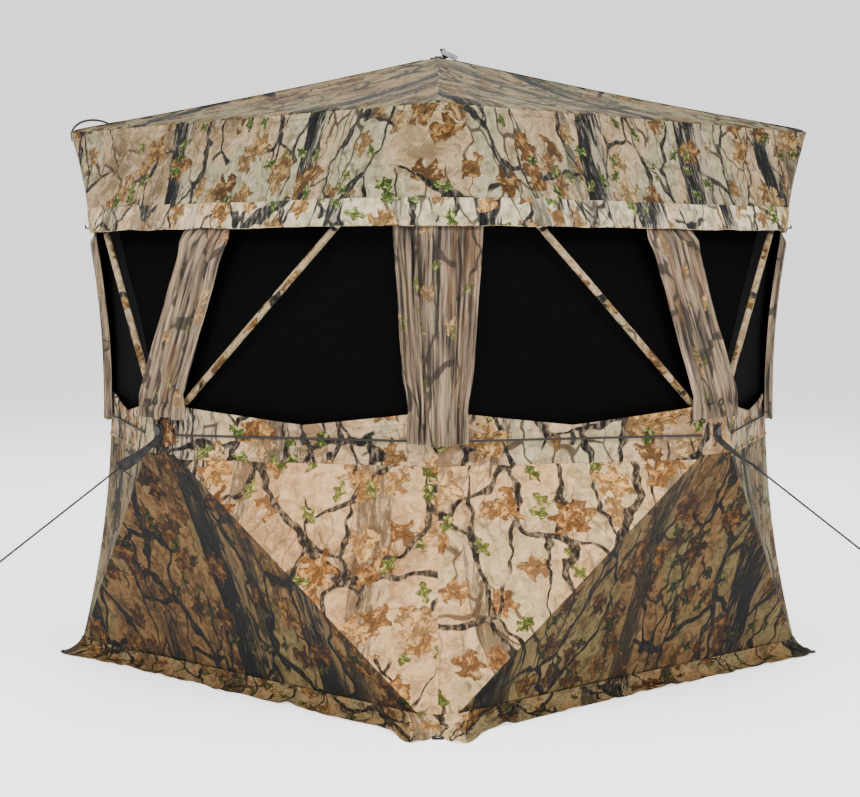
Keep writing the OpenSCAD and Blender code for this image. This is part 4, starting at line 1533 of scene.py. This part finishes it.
def door_zip():
    """Two tapes along a rod's crease with a coil of teeth between them, and the slider at the foot."""
    teeth, seams = [], []
    for i in range(int((ZIP_TO - ZIP_FROM - 0.01) / TOOTH_PITCH)):
        teeth += zip_tooth(i)
    for side in (-0.0105, 0.0105):
        seams += stitch_line(zip_point(ZIP_FROM, side, 0.0010), zip_point(ZIP_TO, side, 0.0010),
                             turn(ZIP_OUT, WALLS["back"]), 0.008)
    for name, parts, material, nodes in (
            ("door_zip_tapes", [zip_tape(-0.0130, -0.0012), zip_tape(0.0012, 0.0130)], ZIP_TAPE,
             ["door_zip_tape"]),
            ("door_zip_teeth", teeth, ZIP_COIL, []),
            ("door_zip_seams", seams, STITCH, [])):
        piece = build(name, parts, [material])
        follow_side(piece, "back", -1)
        named(piece, "zip_tape", *nodes)
    axes = [turn(axis, WALLS["back"]) for axis in (ZIP_WAY, ZIP_SIDE, ZIP_OUT)]
    middle_d = SLIDER_AT - SLIDER_L / 2
    slider = []
    for d, side, out, size in ((0, 0, 0.0066, (SLIDER_L, 0.013, 0.0022)),
                               (0.004, 0, 0.0084, (0.014, 0.004, 0.0022)),
                               (0, -0.0052, 0.0046, (SLIDER_L * 0.86, 0.0024, 0.0036)),
                               (0, 0.0052, 0.0046, (SLIDER_L * 0.86, 0.0024, 0.0036))):
        slider += box_parts(zip_point(middle_d + d, side, out), size, axes)
    put("door_zip_slider_body", slider, ZIP_METAL, "zip_slider", "zip_metal", "door_zip_slider")
    puller = box_parts(zip_point(SLIDER_AT + 0.004, 0, 0.0098), (0.030, 0.0075, 0.0016), axes)
    puller += ring_parts(zip_point(middle_d + 0.004, 0, 0.0096), axes[1], 0.0022, 0.0007, 20)
    put("door_zip_puller", puller, ZIP_METAL, "zip_slider", "zip_metal")


door_zip()

# ------------------------------ finishes on the CAD pieces that stay

for hub_name in (*WALLS, "roof"):
    for node, finish in (("hub_" + hub_name, PLASTIC), ("hub_hardware_" + hub_name, METAL)):
        for place in bpy.data.objects[node].material_slots:
            place.material = finish

# ------------------------------ floor, sky and light

FLOOR_HALF = 60
FLOOR_Z = -0.0006               # just under the feet of the cloth
SKY_LIGHT = 0.33
SKY_SEEN = 1.56
PAPER_GLOW = 1.25
AIM = Vector((0, 0, 0.8))        # the lamps point at the middle of the blind
# name, place, size, power, colour
LAMPS = [("key", (2.0, -5.8, 5.6), 2.8, 560, (1.0, 0.985, 0.96)),
         ("fill", (5.8, -1.8, 5.4), 2.8, 520, (1.0, 0.98, 0.95)),
         ("top", (0.4, -0.4, 6.6), 4.0, 300, (1.0, 1.0, 1.0)),
         ("back", (-4.6, 4.6, 5.4), 4.0, 300, (1.0, 1.0, 1.0))]


def studio():
    """A wide pale floor under a pale sky, and large soft lamps."""
    across = steps(-FLOOR_HALF, FLOOR_HALF, 6)
    sheet = grid_part(lambda x, y: (x, y, FLOOR_Z), across, across, lambda x, y: (x, y))
    floor = build("studio_floor", [sheet], [paper("studio_paper", (0.93, 0.93, 0.93), PAPER_GLOW)])
    for name, place, size, power, shade in LAMPS:
        data = bpy.data.lights.new(name, "AREA")
        data.size, data.energy, data.color = size, power, shade
        lamp = bpy.data.objects.new(name, data)
        lamp.location = place
        lamp.rotation_euler = (AIM - Vector(place)).to_track_quat("-Z", "Y").to_euler()
        bpy.context.scene.collection.objects.link(lamp)
    world = bpy.data.worlds.new("studio")
    bpy.context.scene.world = world
    world.use_nodes = True
    tree = world.node_tree
    sky = tree.nodes["Background"]
    sky.inputs["Color"].default_value = (1, 1, 1, 1)
    # the sky lights the blind softly, and is seen as pale as the floor's far edge
    seen = Wire(tree, tree.nodes.new("ShaderNodeLightPath").outputs["Is Camera Ray"])
    plug(tree, seen * (SKY_SEEN - SKY_LIGHT) + SKY_LIGHT, sky.inputs["Strength"])


studio()
